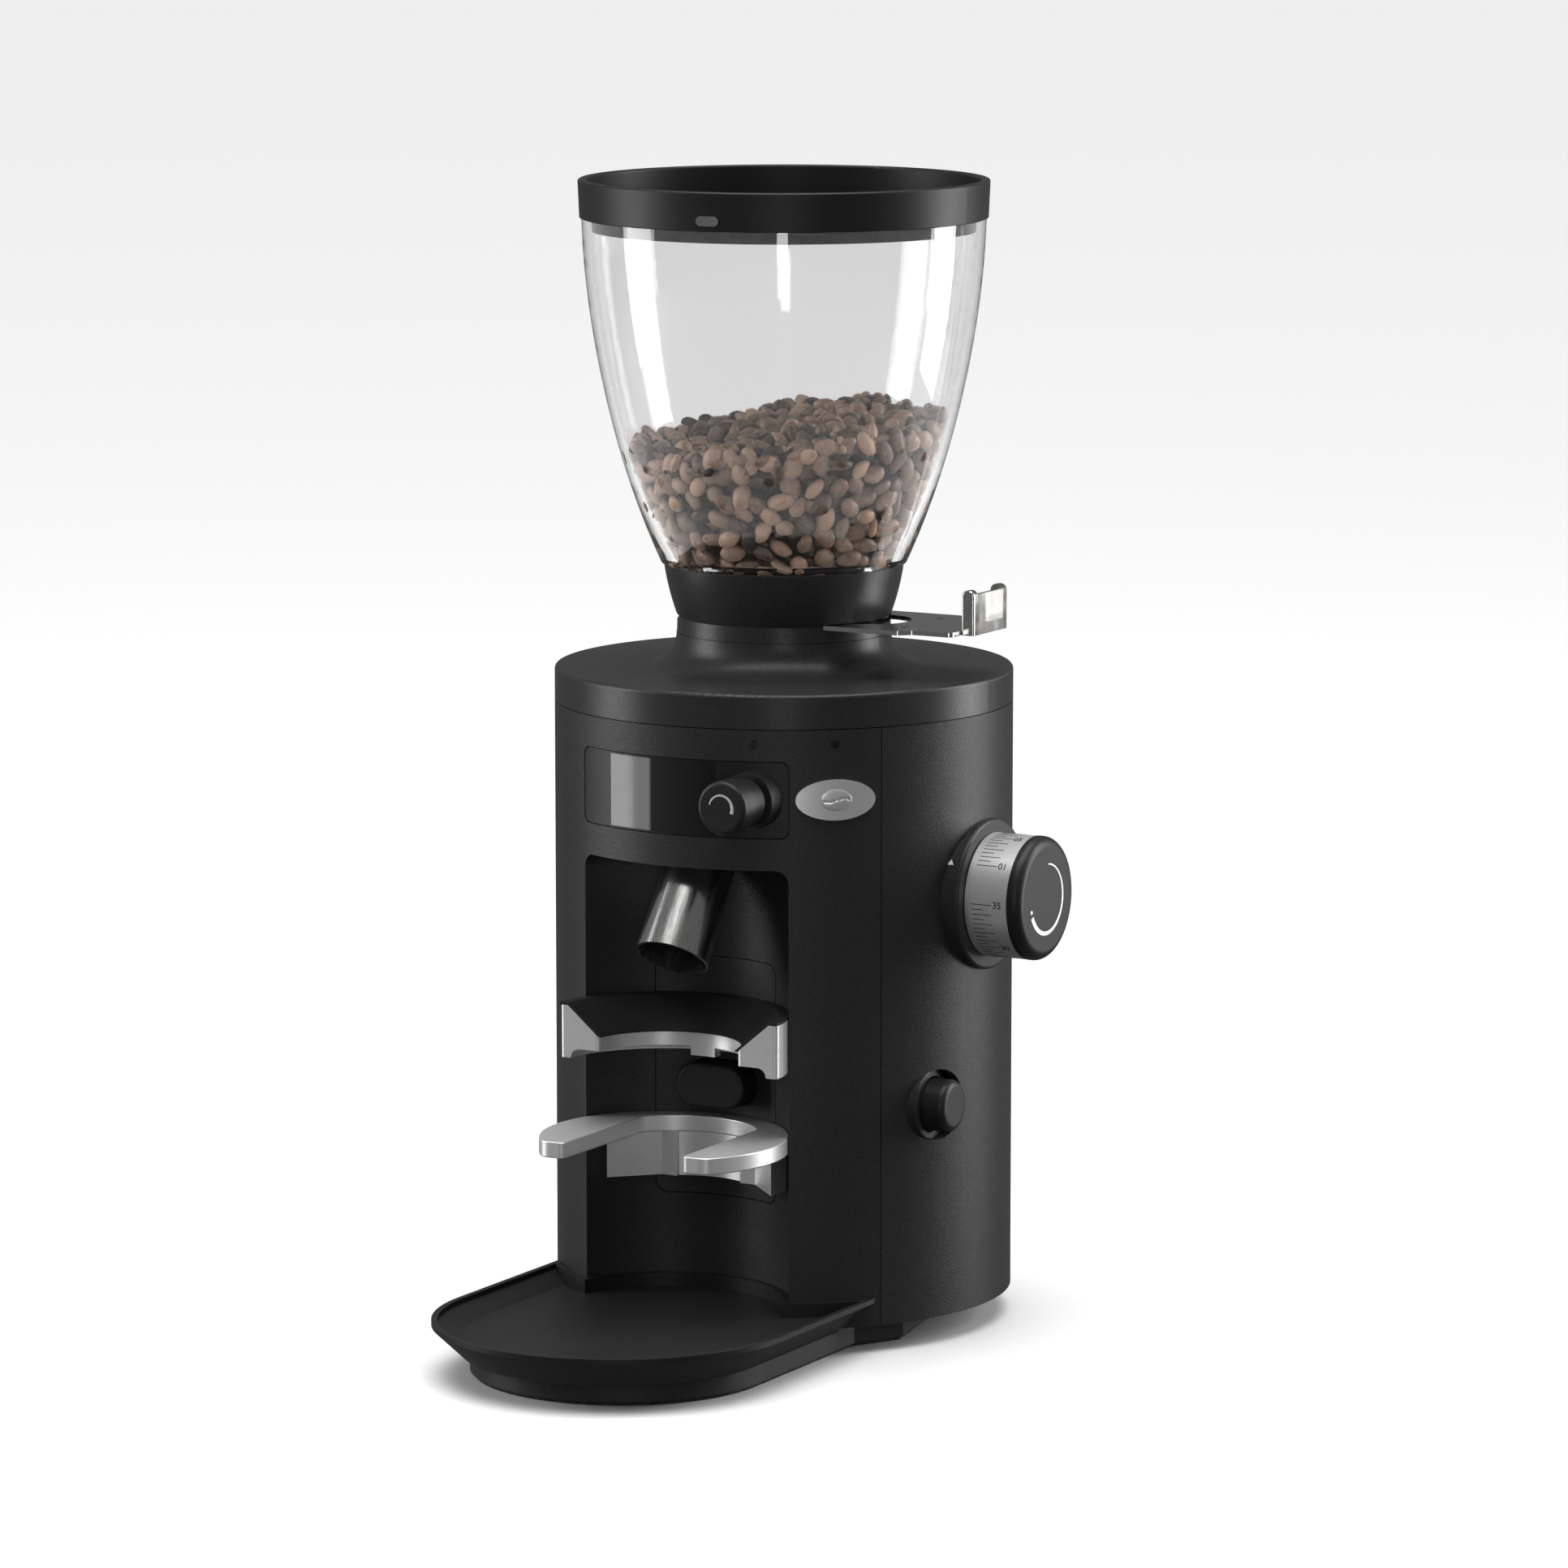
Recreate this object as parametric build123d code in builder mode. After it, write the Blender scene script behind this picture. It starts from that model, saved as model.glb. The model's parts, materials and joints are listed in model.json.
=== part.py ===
from build123d import *
from math import asin, atan, cos, degrees, pi, radians, sin, sqrt
import os

os.makedirs("parts", exist_ok=True)

# An espresso burr grinder with a bean hopper. The origin is on the floor under the burr axis,
# +Z is up, the spout faces -Y and the grind dial is on the +X side. Millimetres.

# ---------------------------------------------------------------- driving dimensions
# Clearances
gap = 0.3                 # between pieces that move past one another
seam = 0.3                # open joint line between neighbouring covers
running = 0.05            # radial, shaft in its bore
seat = 0.1                # between a screw or pin and its hole

# Body shell
body_radius = 82.5
shell_wall = 3.0
shell_bottom = 10.0
shell_top = 224.0
seam_angle = 53.3         # from the front to the joint between housing and jacket

# Bay for the portafilter: an upright round channel in the front of the shell
bay_radius = 44.4
bay_back = 43.3           # burr axis to the back of the bay
bay_top = 174.3
bay_wall = 2.5
bay_corner = 5.0
panel_width = 49.4        # removable panel in the bay's back wall
panel_low = 49.0
panel_high = 136.0
panel_corner = 4.5

# Base
sole_thickness = 1.5
plinth_top = 8.0
plinth_half_width = 54.0
plinth_centre = 116.4     # burr axis to the centre of the round front
plinth_side = 64.0        # half width under the body
plinth_rear = 62.0        # burr axis to the rear edge
vent_circle = 22.0
deck_thickness = 4.0

# Top cover and neck
cover_top = 236.4
cover_edge = 1.4
neck_top = 248.4
neck_radius = 38.6
neck_flare = 12.0
neck_bore = 31.0
cover_rim = 10.0          # depth of the locating rim inside the shell

# Control panel
control_width = 83.0
control_low = 185.5
control_high = 213.0
control_corner = 3.0
window_left = -27.0
window_right = 17.0
window_thickness = 0.8
knob_x = 30.0
knob_z = 199.5
knob_cap_radius = 9.5
knob_body_radius = 8.5
knob_ring_radius = 10.2
knob_reach = 23.0         # knob face in front of the panel
knob_push = 1.5
screw_angles = (21.6, 41.3)
cover_screw_z = 218.9
cover_screw_radius = 1.5
badge_angle = 41.6
badge_width = 28.7
badge_height = 14.4
badge_z = 199.3
badge_thickness = 0.8

# Start button
start_width = 27.6
start_height = 15.8
start_z = 90.6
start_face = 55.2         # burr axis to the button face
start_travel = 2.5

# Spout
spout_mouth = (0, -81.6, 141.4)
spout_tilt = 34.4
spout_mouth_radius = 13.4
spout_top_radius = 11.6
spout_wall = 1.0
spout_length = 56.0

# Grind dial
dial_z = 159.2
escutcheon_radius = 27.0
escutcheon_stand = 2.2    # face in front of the shell
drum_radius = 22.1
drum_width = 16.5
cap_width = 5.0
cap_edge = 3.6
spindle_radius = 5.0
wedge_slope = 0.1

# Power button
power_y = -28.0
power_z = 87.0
power_ring_radius = 12.6
power_bore = 9.8
power_face_x = 75.8
power_button_radius = 9.4
power_button_reach = 8.9
power_travel = 2.0

# Grinding chamber and burrs
burr_radius = 27.0
burr_inner = 16.0
burr_thickness = 6.0
burr_gap = 0.4
burr_screw_circle = 22.0    # burr axis to the screws that hold each burr
burr_screw_radius = 1.5
burr_teeth = 18
throat_radius = 14.0
chamber_radius = 44.0
chamber_bore = 30.0
flange_radius = 57.0
flange_low = 178.0
flange_thickness = 5.0
chamber_floor = 187.0
lower_burr_low = 197.0
sleeve_radius = 15.0
sleeve_low = 168.0

# Motor
motor_radius = 32.0
motor_low = 76.0
motor_high = 140.0
motor_wall = 2.0
mount_thickness = 5.0
shaft_radius = 5.0
bearing_radius = 11.0
bearing_width = 7.0
post_circle = 52.0
post_radius = 5.0
base_screw_radius = 2.5
base_screw_head_radius = 4.5
base_screw_head = 5.0
base_screw_reach = 12.0     # into the post, above the deck

# Portafilter holder
holder_top = 121.5
holder_low = 106.0
holder_leg = 102.6
holder_rail = 4.4         # thickness of the half-ring's lower edge
holder_bore = 28.3
holder_mouth = 40.8
holder_cut = 85.0         # burr axis to the cut ends
liner_wall = 1.0
fork_top = 79.0
fork_thickness = 5.9
fork_slot = 47.4
fork_slot_back = 50.8      # burr axis to the back of the slot
fork_slot_back_radius = 29.0
fork_slot_corner = 4.0
fork_front = 117.0
fork_tip_corner = 6.5
fork_tip_inner_corner = 2.2
bracket_low = 57.2
bracket_half_width = 33.5
bracket_front = 70.2       # burr axis to the front of the bracket's ends
bracket_face = 55.8        # burr axis to the face between them
bracket_face_half_width = 19.0
block_half_width = 13.0    # middle block, flush with the back of the slot
holder_screw_angles = (-42, 42)
holder_screw_radius = 1.5
holder_head_radius = 2.8
holder_hex_radius = 1.4

# Hopper
collar_top = 273.2
collar_top_radius = 43.1
collar_straight = 5.6
collar_curve = 90.0
socket_depth = 5.0
collar_rim = 4.0
hopper_wall = 3.0
hopper_base = 273.6
hopper_base_radius = 44.1
hopper_top = 396.9
hopper_top_radius = 72.3
bean_level = 322.0
lid_height = 13.5
lid_radius = 73.6
lid_taper = 0.6
lid_wall = 3.3
lid_floor = 3.0
lid_skirt = 4.6
marker_angle = 7.4        # from the front towards the dial

# Shutter slide
blade_low = 253.1
blade_thickness = 1.6
blade_half_width = 24.5
blade_inner_end = 30.4
blade_step = 59.0
blade_end = 78.5
blade_end_half_width = 20.5
shutter_travel = 36.0
handle_width = 26.0
handle_height = 16.0
handle_depth = 5.0
handle_bar = 3.4

# Tray
tray_half_width = 65.0
tray_centre = 121.0
tray_top = 20.0
tray_lip = 1.8
tray_floor = 2.4              # thickness of the dish's floor
tray_wall = 2.2
tray_foot_half_width = 54.6
tray_well_half_width = 53.5   # flat floor inside the dish
tray_well = 15.0              # height of that floor above the floor the grinder stands on
tray_gap = 0.4

# ---------------------------------------------------------------- derived places
shell_bore = body_radius - shell_wall
spout_way = (0, sin(radians(spout_tilt)), cos(radians(spout_tilt)))
bay_y = -(bay_back + bay_radius)
shell_height = shell_top - shell_bottom
deck_top = shell_bottom + deck_thickness
fork_low = fork_top - fork_thickness
lower_burr_top = lower_burr_low + burr_thickness
upper_burr_low = lower_burr_top + burr_gap
upper_burr_top = upper_burr_low + burr_thickness
mount_top = motor_high + mount_thickness
lid_low = hopper_top + gap
post_angles = (90, 210, 330)
holder_outer = bay_radius - gap
holder_screw_z = (holder_low + holder_leg) / 2 + 5.5
bracket_screw_z = (bracket_low + fork_low) / 2


def front_plane(x, y, z):
    """A plane facing the front, with its local y upwards."""
    return Plane(origin=(x, y, z), x_dir=(1, 0, 0), z_dir=(0, -1, 0))


def side_plane(x, y, z):
    """A plane facing +X, with its local y upwards."""
    return Plane(origin=(x, y, z), x_dir=(0, 1, 0), z_dir=(1, 0, 0))


def body_plane(angle, radius, z):
    """A plane facing away from the burr axis, at an angle from the front towards +X."""
    a = radians(angle)
    return Plane(origin=(radius * sin(a), -radius * cos(a), z), x_dir=(cos(a), sin(a), 0),
                 z_dir=(sin(a), -cos(a), 0))


def bay_plane(angle, radius, z):
    """A plane facing out of the bay's axis, at an angle from straight back towards +X."""
    a = radians(angle)
    return Plane(origin=(radius * sin(a), bay_y + radius * cos(a), z), x_dir=(-cos(a), sin(a), 0),
                 z_dir=(sin(a), cos(a), 0))


# ---------------------------------------------------------------- base
def plinth_outline(inset):
    """The floor outline: a round-nosed tongue under the tray, wider under the body."""
    half = plinth_half_width - inset
    wide = plinth_side - inset
    rear = plinth_rear - inset
    with BuildLine() as outline:
        ThreePointArc((-half, -plinth_centre), (0, -plinth_centre - half), (half, -plinth_centre))
        Polyline((half, -plinth_centre), (half, -46), (wide, -28), (wide - 10, 24), (34, rear),
                 (-34, rear), (10 - wide, 24), (-wide, -28), (-half, -46), (-half, -plinth_centre))
    return outline.line


with BuildPart() as base_plate:
    with BuildSketch(Plane.XY.offset(sole_thickness)):
        make_face(plinth_outline(0.0))
    extrude(amount=plinth_top - sole_thickness)
    # Deck inside the shell, with a step up from the plinth
    with BuildSketch(Plane.XY.offset(sole_thickness)):
        make_face(plinth_outline(0.0))
        Circle(shell_bore - gap, mode=Mode.INTERSECT)
        with Locations((0, bay_y)):
            Circle(bay_radius + bay_wall + gap, mode=Mode.SUBTRACT)
    extrude(amount=shell_bottom - sole_thickness)
    with BuildSketch(Plane.XY.offset(shell_bottom)):
        Circle(shell_bore - gap)
        with Locations((0, bay_y)):
            Circle(bay_radius + bay_wall + gap, mode=Mode.SUBTRACT)
    extrude(amount=deck_thickness)
    # Cooling slots under the motor and counterbored holes for the lower posts' screws
    with BuildSketch(Plane.XY.offset(sole_thickness)):
        with PolarLocations(vent_circle, 6, start_angle=30):
            SlotCenterToCenter(12, 4, rotation=90)
        with PolarLocations(post_circle, 3, start_angle=post_angles[0]):
            Circle(base_screw_radius + seat)
    extrude(amount=deck_top, mode=Mode.SUBTRACT)
    with BuildSketch(Plane.XY.offset(sole_thickness)):
        with PolarLocations(post_circle, 3, start_angle=post_angles[0]):
            Circle(base_screw_head_radius + seat)
    extrude(amount=base_screw_head + 0.5, mode=Mode.SUBTRACT)
base_plate.part.label = "base_plate"
export_step(base_plate.part, "parts/base_plate.step")

with BuildPart() as rubber_sole:
    with BuildSketch():
        make_face(plinth_outline(1.5))
        with PolarLocations(vent_circle, 6, start_angle=30):
            SlotCenterToCenter(12, 4, rotation=90, mode=Mode.SUBTRACT)
        with PolarLocations(post_circle, 3, start_angle=post_angles[0]):
            Circle(base_screw_head_radius + 1.5, mode=Mode.SUBTRACT)
    extrude(amount=sole_thickness)
rubber_sole.part.label = "rubber_sole"
export_step(rubber_sole.part, "parts/rubber_sole.step")

# Posts: three from the deck up to the motor mount, three more up to the chamber flange
with BuildPart() as frame_posts:
    for low, high in ((deck_top, motor_high), (mount_top, flange_low)):
        with BuildSketch(Plane.XY.offset(low)):
            with PolarLocations(post_circle, 3, start_angle=post_angles[0]):
                Circle(post_radius)
        extrude(amount=high - low)
    with BuildSketch(Plane.XY.offset(deck_top)):
        with PolarLocations(post_circle, 3, start_angle=post_angles[0]):
            Circle(base_screw_radius + seat)
    extrude(amount=base_screw_reach + 4, mode=Mode.SUBTRACT)
frame_posts.part.label = "frame_posts"
export_step(frame_posts.part, "parts/frame_posts.step")

with BuildPart() as base_screws:
    screw_low = sole_thickness + 0.5
    with BuildSketch(Plane.XY.offset(screw_low)):
        with PolarLocations(post_circle, 3, start_angle=post_angles[0]):
            Circle(base_screw_head_radius)
    extrude(amount=base_screw_head)
    with BuildSketch(Plane.XY.offset(screw_low)):
        with PolarLocations(post_circle, 3, start_angle=post_angles[0]):
            Circle(base_screw_radius)
    extrude(amount=deck_top + base_screw_reach - screw_low)
    with BuildSketch(Plane.XY.offset(screw_low)):
        with PolarLocations(post_circle, 3, start_angle=post_angles[0]):
            RegularPolygon(base_screw_head_radius / 2, 6)
    extrude(amount=base_screw_head / 2, mode=Mode.SUBTRACT)
base_screws.part.label = "base_screws"
export_step(base_screws.part, "parts/base_screws.step")

# ---------------------------------------------------------------- body shell
with BuildPart() as front_housing:
    reach = 2 * body_radius
    with BuildSketch(Plane.XY.offset(shell_bottom)):
        Circle(body_radius)
        Circle(shell_bore, mode=Mode.SUBTRACT)
        edge_x = reach * sin(radians(seam_angle))
        edge_y = -reach * cos(radians(seam_angle))
        Polygon((0, 0), (-edge_x, edge_y), (-edge_x, -reach), (edge_x, -reach), (edge_x, edge_y),
                align=None, mode=Mode.INTERSECT)
    extrude(amount=shell_height)
    # Wall and ceiling of the bay
    with BuildSketch(Plane.XY.offset(shell_bottom)):
        with Locations((0, bay_y)):
            Circle(bay_radius + bay_wall)
        Circle(body_radius - shell_wall / 2, mode=Mode.INTERSECT)
    extrude(amount=bay_top + bay_wall - shell_bottom)
    with BuildSketch(Plane.XY.offset(shell_bottom)):
        with Locations((0, bay_y)):
            Circle(bay_radius)
    extrude(amount=bay_top - shell_bottom, mode=Mode.SUBTRACT)
    bay_edges = front_housing.edges().filter_by(GeomType.CIRCLE).filter_by(
        lambda e: abs(e.center().Z - bay_top) < 0.01 and abs(e.radius - bay_radius) < 0.01)
    fillet(bay_edges, bay_corner)
    # Window for the control panel
    with BuildSketch(front_plane(0, -body_radius / 2, (control_low + control_high) / 2)):
        RectangleRounded(control_width, control_high - control_low, control_corner)
    extrude(amount=body_radius, mode=Mode.SUBTRACT)
    # Opening for the removable panel in the bay
    with BuildSketch(front_plane(0, 0, (panel_low + panel_high) / 2)):
        RectangleRounded(panel_width, panel_high - panel_low, panel_corner)
    extrude(amount=bay_back + bay_radius / 2, mode=Mode.SUBTRACT)
    # Hole in the ceiling for the spout
    with BuildSketch(Plane(origin=spout_mouth, z_dir=spout_way)):
        Circle(spout_mouth_radius + gap)
    extrude(amount=spout_length, mode=Mode.SUBTRACT)
    # Screw holes: two for the cover, four in the bay wall for the holder and the fork
    for angle in screw_angles:
        with BuildSketch(body_plane(angle, shell_bore - 1, cover_screw_z)):
            Circle(cover_screw_radius + seat)
        extrude(amount=shell_wall + 2, mode=Mode.SUBTRACT)
    for angle in holder_screw_angles:
        for z in (holder_screw_z, bracket_screw_z):
            with BuildSketch(bay_plane(angle, bay_radius - 1, z)):
                Circle(cover_screw_radius + seat)
            extrude(amount=bay_wall + 2, mode=Mode.SUBTRACT)
front_housing.part.label = "front_housing"
export_step(front_housing.part, "parts/front_housing.step")

inlet_z = 38.0
inlet_width = 28.0
inlet_height = 20.0
with BuildPart() as rear_jacket:
    jacket_angle = seam_angle + degrees(seam / body_radius)
    with BuildSketch(Plane.XY.offset(shell_bottom)):
        Circle(body_radius)
        Circle(shell_bore, mode=Mode.SUBTRACT)
        edge_x = reach * sin(radians(jacket_angle))
        edge_y = -reach * cos(radians(jacket_angle))
        Polygon((0, 0), (-edge_x, edge_y), (-edge_x, -reach), (edge_x, -reach), (edge_x, edge_y),
                align=None, mode=Mode.SUBTRACT)
    extrude(amount=shell_height)
    with BuildSketch(side_plane(body_radius / 2, 0, dial_z)):
        Circle(12 + seat)
    extrude(amount=body_radius, mode=Mode.SUBTRACT)
    with BuildSketch(side_plane(body_radius / 2, power_y, power_z)):
        Circle(power_ring_radius + seat)
    extrude(amount=body_radius, mode=Mode.SUBTRACT)
    with BuildSketch(Plane(origin=(0, body_radius / 2, inlet_z), x_dir=(-1, 0, 0), z_dir=(0, 1, 0))):
        RectangleRounded(inlet_width + 2 * seat, inlet_height + 2 * seat, 2)
    extrude(amount=body_radius, mode=Mode.SUBTRACT)
rear_jacket.part.label = "rear_jacket"
export_step(rear_jacket.part, "parts/rear_jacket.step")

with BuildPart() as top_cover:
    cover_low = shell_top + seam
    top_plate = cover_top - shell_wall
    rim_outer = shell_bore - gap
    with BuildSketch(Plane.XZ):
        with BuildLine():
            Line((neck_bore, neck_top), (neck_radius, neck_top))
            RadiusArc((neck_radius, neck_top), (neck_radius + neck_flare, cover_top), -neck_flare)
            Line((neck_radius + neck_flare, cover_top), (body_radius, cover_top))
            Polyline((body_radius, cover_top), (body_radius, cover_low), (rim_outer, cover_low),
                     (rim_outer, shell_top - cover_rim), (rim_outer - shell_wall, shell_top - cover_rim),
                     (rim_outer - shell_wall, top_plate), (neck_radius, top_plate),
                     (neck_radius, top_plate - 4), (neck_bore, top_plate - 4), (neck_bore, neck_top))
        make_face()
    revolve(axis=Axis.Z)
    outer_edge = top_cover.edges().filter_by(
        lambda e: abs(e.center().Z - cover_top) < 0.01 and e.length > 2 * pi * (body_radius - 1))
    fillet(outer_edge, cover_edge)
    for angle in screw_angles:
        with BuildSketch(body_plane(angle, rim_outer - shell_wall - 1, cover_screw_z)):
            Circle(cover_screw_radius + seat)
        extrude(amount=shell_wall + 2, mode=Mode.SUBTRACT)
top_cover.part.label = "top_cover"
export_step(top_cover.part, "parts/top_cover.step")

with BuildPart() as cover_screws:
    for angle in screw_angles:
        with BuildSketch(body_plane(angle, rim_outer - shell_wall, cover_screw_z)):
            Circle(cover_screw_radius)
        extrude(amount=body_radius - 0.4 - rim_outer + shell_wall)
        with BuildSketch(body_plane(angle, body_radius - 1.4, cover_screw_z)):
            RegularPolygon(0.85, 6)
        extrude(amount=1.5, mode=Mode.SUBTRACT)
cover_screws.part.label = "cover_screws"
export_step(cover_screws.part, "parts/cover_screws.step")

# ---------------------------------------------------------------- control panel
control_middle = (control_low + control_high) / 2
with BuildPart() as control_panel:
    with BuildSketch(Plane.XY.offset(control_low)):
        Circle(body_radius - 0.2)
        Circle(shell_bore, mode=Mode.SUBTRACT)
    extrude(amount=control_high - control_low)
    with BuildSketch(front_plane(0, 0, control_middle)):
        RectangleRounded(control_width - 2 * seam, control_high - control_low - 2 * seam, control_corner)
    extrude(amount=body_radius * 2, mode=Mode.INTERSECT)
    # Round seat for the timer knob
    seat_face = sqrt(body_radius ** 2 - (knob_x - knob_ring_radius) ** 2) + 1.5
    with BuildSketch(front_plane(knob_x, -shell_bore * cos(asin(knob_x / shell_bore)) - 0.5, knob_z)):
        Circle(knob_ring_radius)
    extrude(amount=seat_face - shell_bore * cos(asin(knob_x / shell_bore)) - 0.5)
    with BuildSketch(front_plane(knob_x, 0, knob_z)):
        Circle(3.0 + gap)
    extrude(amount=2 * body_radius, mode=Mode.SUBTRACT)
    # Sunk seat for the display window
    with BuildSketch(Plane.XY.offset(control_low + 0.8)):
        Circle(body_radius)
        Circle(body_radius - 0.2 - window_thickness, mode=Mode.SUBTRACT)
        with Locations(((window_left + window_right) / 2, -body_radius)):
            Rectangle(window_right - window_left, body_radius, mode=Mode.INTERSECT)
    extrude(amount=control_high - control_low - 1.6, mode=Mode.SUBTRACT)
control_panel.part.label = "control_panel"
export_step(control_panel.part, "parts/control_panel.step")

with BuildPart() as display_window:
    with BuildSketch(Plane.XY.offset(control_low + 0.8 + seat)):
        Circle(body_radius - 0.2)
        Circle(body_radius - 0.2 - window_thickness, mode=Mode.SUBTRACT)
        with Locations(((window_left + window_right) / 2, -body_radius)):
            Rectangle(window_right - window_left - 2 * seat, body_radius, mode=Mode.INTERSECT)
    extrude(amount=control_high - control_low - 1.6 - 2 * seat)
display_window.part.label = "display_window"
export_step(display_window.part, "parts/display_window.step")

# ---------------------------------------------------------------- timer knob
panel_back = sqrt(shell_bore ** 2 - (knob_x + knob_ring_radius) ** 2)
knob_back = seat_face + gap + knob_push
knob_front = sqrt(body_radius ** 2 - knob_x ** 2) + knob_reach
with BuildPart() as encoder_body:
    with BuildSketch(front_plane(knob_x, -panel_back + 16, knob_z)):
        Rectangle(14, 14)
    extrude(amount=14)
    with BuildSketch(front_plane(knob_x, -panel_back + 20, knob_z)):
        Circle(2.5 + gap)
    extrude(amount=30, mode=Mode.SUBTRACT)
encoder_body.part.label = "encoder_body"
export_step(encoder_body.part, "parts/encoder_body.step")

with BuildPart() as encoder_plunger:
    with BuildSketch(front_plane(knob_x, -panel_back + 14, knob_z)):
        Circle(2.5)
    extrude(amount=7)
encoder_plunger.part.label = "encoder_plunger"
export_step(encoder_plunger.part, "parts/encoder_plunger.step")

with BuildPart() as encoder_shaft:
    shaft_back = panel_back - 7 + gap
    with BuildSketch(front_plane(knob_x, -shaft_back, knob_z)):
        Circle(2.5)
    extrude(amount=knob_back + 8 - shaft_back)
encoder_shaft.part.label = "encoder_shaft"
export_step(encoder_shaft.part, "parts/encoder_shaft.step")

with BuildPart() as timer_knob:
    knob_length = knob_front - knob_back
    cap_length = 8.5
    with BuildSketch(Plane(origin=(knob_x, -knob_back, knob_z), x_dir=(1, 0, 0), z_dir=(0, 0, 1))):
        with BuildLine():
            Polyline((2.5, 0), (knob_body_radius, 0), (knob_body_radius, -knob_length + cap_length + 0.8),
                     (knob_cap_radius, -knob_length + cap_length), (knob_cap_radius, -knob_length),
                     (0, -knob_length), (0, -8), (2.5, -8), (2.5, 0))
        make_face()
    revolve(axis=Axis((knob_x, 0, knob_z), (0, 1, 0)))
    fillet(timer_knob.edges().filter_by(
        lambda e: abs(e.center().Y + knob_front) < 0.01 and e.length > 50), 1.6)
timer_knob.part.label = "timer_knob"
export_step(timer_knob.part, "parts/timer_knob.step")

with BuildPart() as badge:
    with BuildSketch(Plane.XY.offset(badge_z - badge_height / 2)):
        Circle(body_radius + badge_thickness)
        Circle(body_radius, mode=Mode.SUBTRACT)
    extrude(amount=badge_height)
    with BuildSketch(body_plane(badge_angle, body_radius / 2, badge_z)):
        Ellipse(badge_width / 2, badge_height / 2)
    extrude(amount=body_radius, mode=Mode.INTERSECT)
badge.part.label = "badge"
export_step(badge.part, "parts/badge.step")

# ---------------------------------------------------------------- bay
with BuildPart() as recess_panel:
    with BuildSketch(Plane.XY.offset(panel_low)):
        with Locations((0, bay_y)):
            Circle(bay_radius + bay_wall)
            Circle(bay_radius, mode=Mode.SUBTRACT)
    extrude(amount=panel_high - panel_low)
    with BuildSketch(front_plane(0, 0, (panel_low + panel_high) / 2)):
        RectangleRounded(panel_width - 2 * seam, panel_high - panel_low - 2 * seam, panel_corner)
    extrude(amount=bay_back + bay_radius / 2, mode=Mode.INTERSECT)
    with BuildSketch(front_plane(0, 0, start_z)):
        RectangleRounded(start_width + 2 * gap, start_height + 2 * gap, start_height / 2)
    extrude(amount=body_radius, mode=Mode.SUBTRACT)
recess_panel.part.label = "recess_panel"
export_step(recess_panel.part, "parts/recess_panel.step")

button_flange = bay_back - bay_wall - gap - 1.5
with BuildPart() as start_button:
    with BuildSketch(front_plane(0, -button_flange, start_z)):
        RectangleRounded(start_width, start_height, start_height / 2 - 0.01)
    extrude(amount=start_face - button_flange)
    fillet(start_button.faces().sort_by(Axis.Y)[0].edges(), 1.2)
    with BuildSketch(front_plane(0, -button_flange, start_z)):
        RectangleRounded(start_width + 4, start_height + 4, start_height / 2)
    extrude(amount=1.5)
start_button.part.label = "start_button"
export_step(start_button.part, "parts/start_button.step")

with BuildPart() as start_spring:
    spring_length = button_flange - motor_radius - 1.5
    with BuildSketch(front_plane(10.5, -button_flange + spring_length, start_z)):
        Circle(2.6)
        Circle(1.8, mode=Mode.SUBTRACT)
    extrude(amount=spring_length - seat)
start_spring.part.label = "start_spring"
export_step(start_spring.part, "parts/start_spring.step")

with BuildPart() as start_switch:
    switch_front = button_flange - start_travel - gap
    with BuildSketch(front_plane(0, -motor_radius - gap, start_z)):
        Rectangle(9.5, 12)
    extrude(amount=switch_front - motor_radius - gap - 0.8)
    with BuildSketch(front_plane(0, -motor_radius - gap, start_z)):
        Circle(1.5)
    extrude(amount=switch_front - motor_radius - gap)
start_switch.part.label = "start_switch"
export_step(start_switch.part, "parts/start_switch.step")

spout_up = (0, sin(radians(spout_tilt)), cos(radians(spout_tilt)))
with BuildPart() as spout:
    with BuildSketch(Plane(origin=spout_mouth, x_dir=(1, 0, 0), z_dir=spout_up)):
        Circle(spout_mouth_radius)
    with BuildSketch(Plane(origin=spout_mouth, x_dir=(1, 0, 0), z_dir=spout_up).offset(spout_length)):
        Circle(spout_top_radius)
    loft()
    with BuildSketch(Plane(origin=spout_mouth, x_dir=(1, 0, 0), z_dir=spout_up)):
        Circle(spout_mouth_radius - spout_wall)
    with BuildSketch(Plane(origin=spout_mouth, x_dir=(1, 0, 0), z_dir=spout_up).offset(spout_length)):
        Circle(spout_top_radius - spout_wall)
    loft(mode=Mode.SUBTRACT)
spout.part.label = "spout"
export_step(spout.part, "parts/spout.step")

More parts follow.
